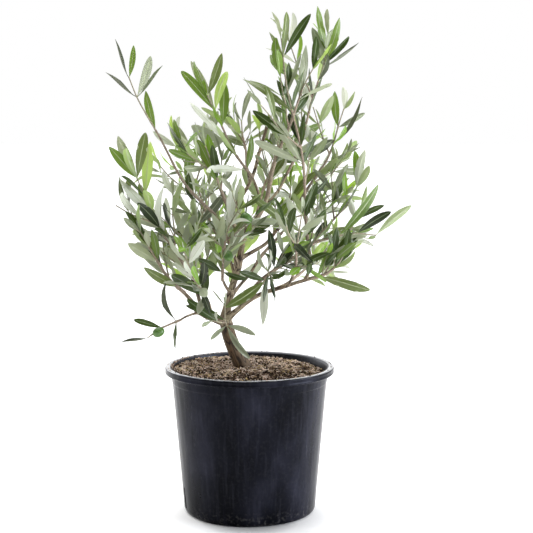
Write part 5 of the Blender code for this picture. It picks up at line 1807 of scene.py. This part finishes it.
def leaf_finish(name, colour, passed, share, surface):
    """A leaf's surface: waxy, finely pitted, and letting a share of the light through."""
    roughness, gloss, pits = surface
    finish, tree, shader = new_finish(name, colour, roughness, gloss)
    feed(tree, shader, {"Specular Tint": SHEEN_TINT})
    bump_node(tree, noise_node(tree, *LEAF_PITS), pits, LEAF_PIT_DEPTH, shader)
    passing = added(tree, "BsdfTranslucent", {"Color": (*passed, 1)})
    mix = added(tree, "MixShader", {0: share, 1: shader.outputs["BSDF"], 2: passing.outputs["BSDF"]})
    feed(tree, tree.nodes["Material Output"], {"Surface": mix.outputs["Shader"]})
    return finish


def bark_finish():
    """Grey-brown bark, paler on its plates and darker in its furrows."""
    finish, tree, shader = new_finish("bark", (0.2, 0.14, 0.1), 0.78)
    depth, age = (added(tree, "Attribute") for _ in range(2))
    depth.attribute_name = "bark_depth"
    age.attribute_name = "bark_age"
    plates = ramp_node(tree, depth.outputs["Fac"], BARK_PLATES)
    ageing = ramp_node(tree, age.outputs["Fac"], BARK_AGEING)
    patches = ramp_node(tree, noise_node(tree, *BARK_MOTTLE), BARK_PATCHES)
    patched = mix_node(tree, 0.85, plates, patches, "MULTIPLY")
    feed(tree, shader, {"Base Color": mix_node(tree, 1.0, patched, ageing, "MULTIPLY")})
    bump_node(tree, noise_node(tree, *BARK_GRAIN), *BARK_PITS, shader)
    return finish


def pot_finish(name, gloss, roughness, dust_and_highlight, coat):
    """Black moulded plastic: cloudy, scuffed in fine upright lines, and flecked with light specks:
    dust on the wall, thickest near the foot, paler flecks inside, and a painted highlight on the rim.
    """
    finish, tree, shader = new_finish(name, (0.006, 0.0065, 0.009), 0.34, gloss)
    clouds = noise_node(tree, *PLASTIC_CLOUDS)
    scuffs = noise_node(tree, *PLASTIC_SCUFFS)
    worn = mix_node(tree, 0.5, ramp_node(tree, clouds, PLASTIC_TONES),
                    ramp_node(tree, scuffs, SCUFF_TONES), "ADD")
    # Light specks: dust on the wall, and on the rim, where they are far brighter, a painted highlight
    specks = ramp_node(tree, noise_node(tree, *PLASTIC_DUST_AND_HIGHLIGHT),
                       ((0.50, (0.0, 0.0, 0.0)), (0.72, dust_and_highlight)))
    place = added(tree, "TexCoord").outputs["Object"]
    height = added(tree, "SeparateXYZ", {"Vector": place}).outputs["Z"]
    low = range_node(tree, height, {"From Min": FOOT_DUST, "From Max": 0,
                                    "To Min": DUST_AND_HIGHLIGHT_SHARES[0], "To Max": DUST_AND_HIGHLIGHT_SHARES[1]})
    rough = range_node(tree, noise_node(tree, *PLASTIC_WEAR),
                       {"To Min": roughness[0], "To Max": roughness[1]})
    feed(tree, shader, {"Base Color": mix_node(tree, low, worn, specks, "ADD"), "Roughness": rough,
                        "Specular Tint": PLASTIC_SHEEN,
                        "Coat Weight": coat, "Coat Roughness": 0.12})
    bump_node(tree, noise_node(tree, *PLASTIC_WAVES), *WAVE_RELIEF, shader)
    bump_node(tree, scuffs, *SCUFF_RELIEF, shader)
    return finish


def mottled_finish(name, colour, roughness, gloss, mottle, stops, grain, relief):
    """A surface toned along a ramp by one noise and given relief by another."""
    finish, tree, shader = new_finish(name, colour, roughness, gloss)
    feed(tree, shader, {"Base Color": ramp_node(tree, noise_node(tree, *mottle), stops)})
    bump_node(tree, noise_node(tree, *grain), *relief, shader)
    return finish


def soil_finish():
    """Brown potting compost between the crumbs."""
    return mottled_finish("compost_bed", (0.10, 0.065, 0.04), 0.95, 0.05, SOIL_MOTTLE, SOIL_TONES,
                          SOIL_GRIT, GRIT_RELIEF)


def olive_finish():
    """A green olive's skin, faintly mottled."""
    return mottled_finish("olive_skin", (0.07, 0.15, 0.03), 0.34, 0.5, OLIVE_MOTTLE, OLIVE_TONES,
                          OLIVE_PORES, PORE_RELIEF)


def all_finishes():
    """Every material by name."""
    finishes = {"bark": bark_finish(), "soil": soil_finish(), "olive": olive_finish()}
    for name, values in POT_FINISHES.items():
        finishes[name] = pot_finish(*values)
    for name, (colour, roughness) in GRAINED.items():
        finishes[name] = grained_finish(name, colour, roughness)
    for tint, (top, under, passed, share) in EDGE_TINTS.items():
        for name, colour in ((f"{tint}_top", top), (f"{tint}_under", under)):
            finishes[name] = leaf_finish(name, colour, passed, share, EDGE_SURFACE)
    for tint, (top, under, passed, share) in TINTS.items():
        surface = DARK_TOP_SURFACE if tint in DARK_TINTS else TOP_SURFACE
        name = f"{tint}_top"
        finishes[name] = leaf_finish(name, top, passed, share, surface)
        name = f"{tint}_under"
        finishes[name] = leaf_finish(name, under, UNDER_PASSED, share, UNDER_SURFACE)
    return finishes


def add_floor():
    """A pale floor with a painted glow that grows out towards the horizon, and a painted shadow close
    in front.
    """
    mesh = bpy.data.meshes.new("floor")
    corners = ((-1, -1), (1, -1), (1, 1), (-1, 1))
    mesh.from_pydata([(x * FLOOR_HALF, y * FLOOR_HALF, 0) for x, y in corners], [], [(0, 1, 2, 3)])
    finish, tree, shader = new_finish("floor_white", (0.84, 0.84, 0.85), 0.8, 0.1)
    place = added(tree, "TexCoord").outputs["Object"]
    away = added(tree, "VectorMath")
    away.operation = "DISTANCE"
    feed(tree, away, {0: place, 1: SHADE_PLACE})
    share = range_node(tree, away.outputs["Value"], {"From Max": FLOOR_REACH})
    # The floor's colour darkens close to the shade's place as a painted shadow, and its glow grows
    # away from there as painted light
    feed(tree, shader, {"Base Color": ramp_node(tree, share, FLOOR_SHADOW_TONES),
                        "Emission Color": (1, 1, 1, 1),
                        "Emission Strength": ramp_node(tree, share, FLOOR_PAINTED_GLOW)})
    mesh.materials.append(finish)
    placed("floor", mesh)


def add_softbox(name, place, aim, size, power, colour):
    """A square area light that faces a point."""
    light = bpy.data.lights.new(name, "AREA")
    light.color = colour
    light.size = size
    light.energy = power
    item = placed(name, light)
    item.location = place
    item.rotation_euler = (Vector(aim) - Vector(place)).to_track_quat("-Z", "Y").to_euler()


def add_world():
    """White to the eye, and as light brighter from behind the plant than from the front."""
    world = bpy.data.worlds.new("studio")
    bpy.context.scene.world = world
    world.use_nodes = True
    tree = world.node_tree
    place = added(tree, "TexCoord").outputs["Generated"]
    ahead = added(tree, "SeparateXYZ", {"Vector": place}).outputs["Y"]
    spread = range_node(tree, ahead, WORLD_LIGHT)
    lit = feed(tree, tree.nodes["Background"], {"Color": (1, 1, 1, 1), "Strength": spread})
    seen = added(tree, "Background", {"Color": (1, 1, 1, 1)})
    rays = added(tree, "LightPath").outputs["Is Camera Ray"]
    mix = added(tree, "MixShader", {0: rays, 1: lit.outputs[0], 2: seen.outputs[0]})
    feed(tree, tree.nodes["World Output"], {"Surface": mix.outputs["Shader"]})


def add_camera():
    """The photograph's viewpoint: level with the crown's lower half, looking slightly down."""
    camera = bpy.data.cameras.new("camera")
    camera.lens = CAMERA_LENS
    camera.sensor_width = CAMERA_SENSOR
    item = placed("camera", camera)
    item.location = CAMERA_PLACE
    item.rotation_euler = (math.radians(90 - CAMERA_PITCH), 0, 0)
    bpy.context.scene.camera = item


def dress(piece, slot, *nodes):
    """The piece rides on the one body and stands for nodes, which it hides; its slot is not used."""
    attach(piece, "root")
    if nodes:
        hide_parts(*nodes)


def main():
    finishes = all_finishes()
    limbs = bough_limbs(trunk_limb())
    growths, crowd = grow_solids(limbs)
    for number, growth in enumerate(growths):
        grow_finer(growth, number, crowd)
    dress(bark_piece(limbs, finishes), "bark", "trunk", *[f"bough_{row.name}" for row in BOUGHS])
    dress(twig_piece(growths, finishes), "bark")
    dress(olive_piece(growths, finishes), "leaf")
    for group in GROUPS:
        members = [growth for growth in growths if growth.row.group == group]
        names = [f"foliage_{growth.row.name}" for growth in members]
        dress(leaf_piece(members, group, finishes), "leaf", *names)
    dress(pot_piece(finishes), "pot", "pot")
    dress(soil_bed(finishes), "soil", "soil")
    dress(soil_crumbs(finishes), "soil")
    dress(soil_fibres(finishes), "soil")
    add_floor()
    for name, values in LIGHTS.items():
        add_softbox(name, *values)
    add_world()
    add_camera()
    bpy.context.scene.view_settings.view_transform = "Standard"
    print("leaves", sum(len(growth.leaves) for growth in growths),
          "fine", sum(len(growth.fine_leaves) for growth in growths),
          "fine twigs", sum(len(growth.fine_twigs) for growth in growths))


main()
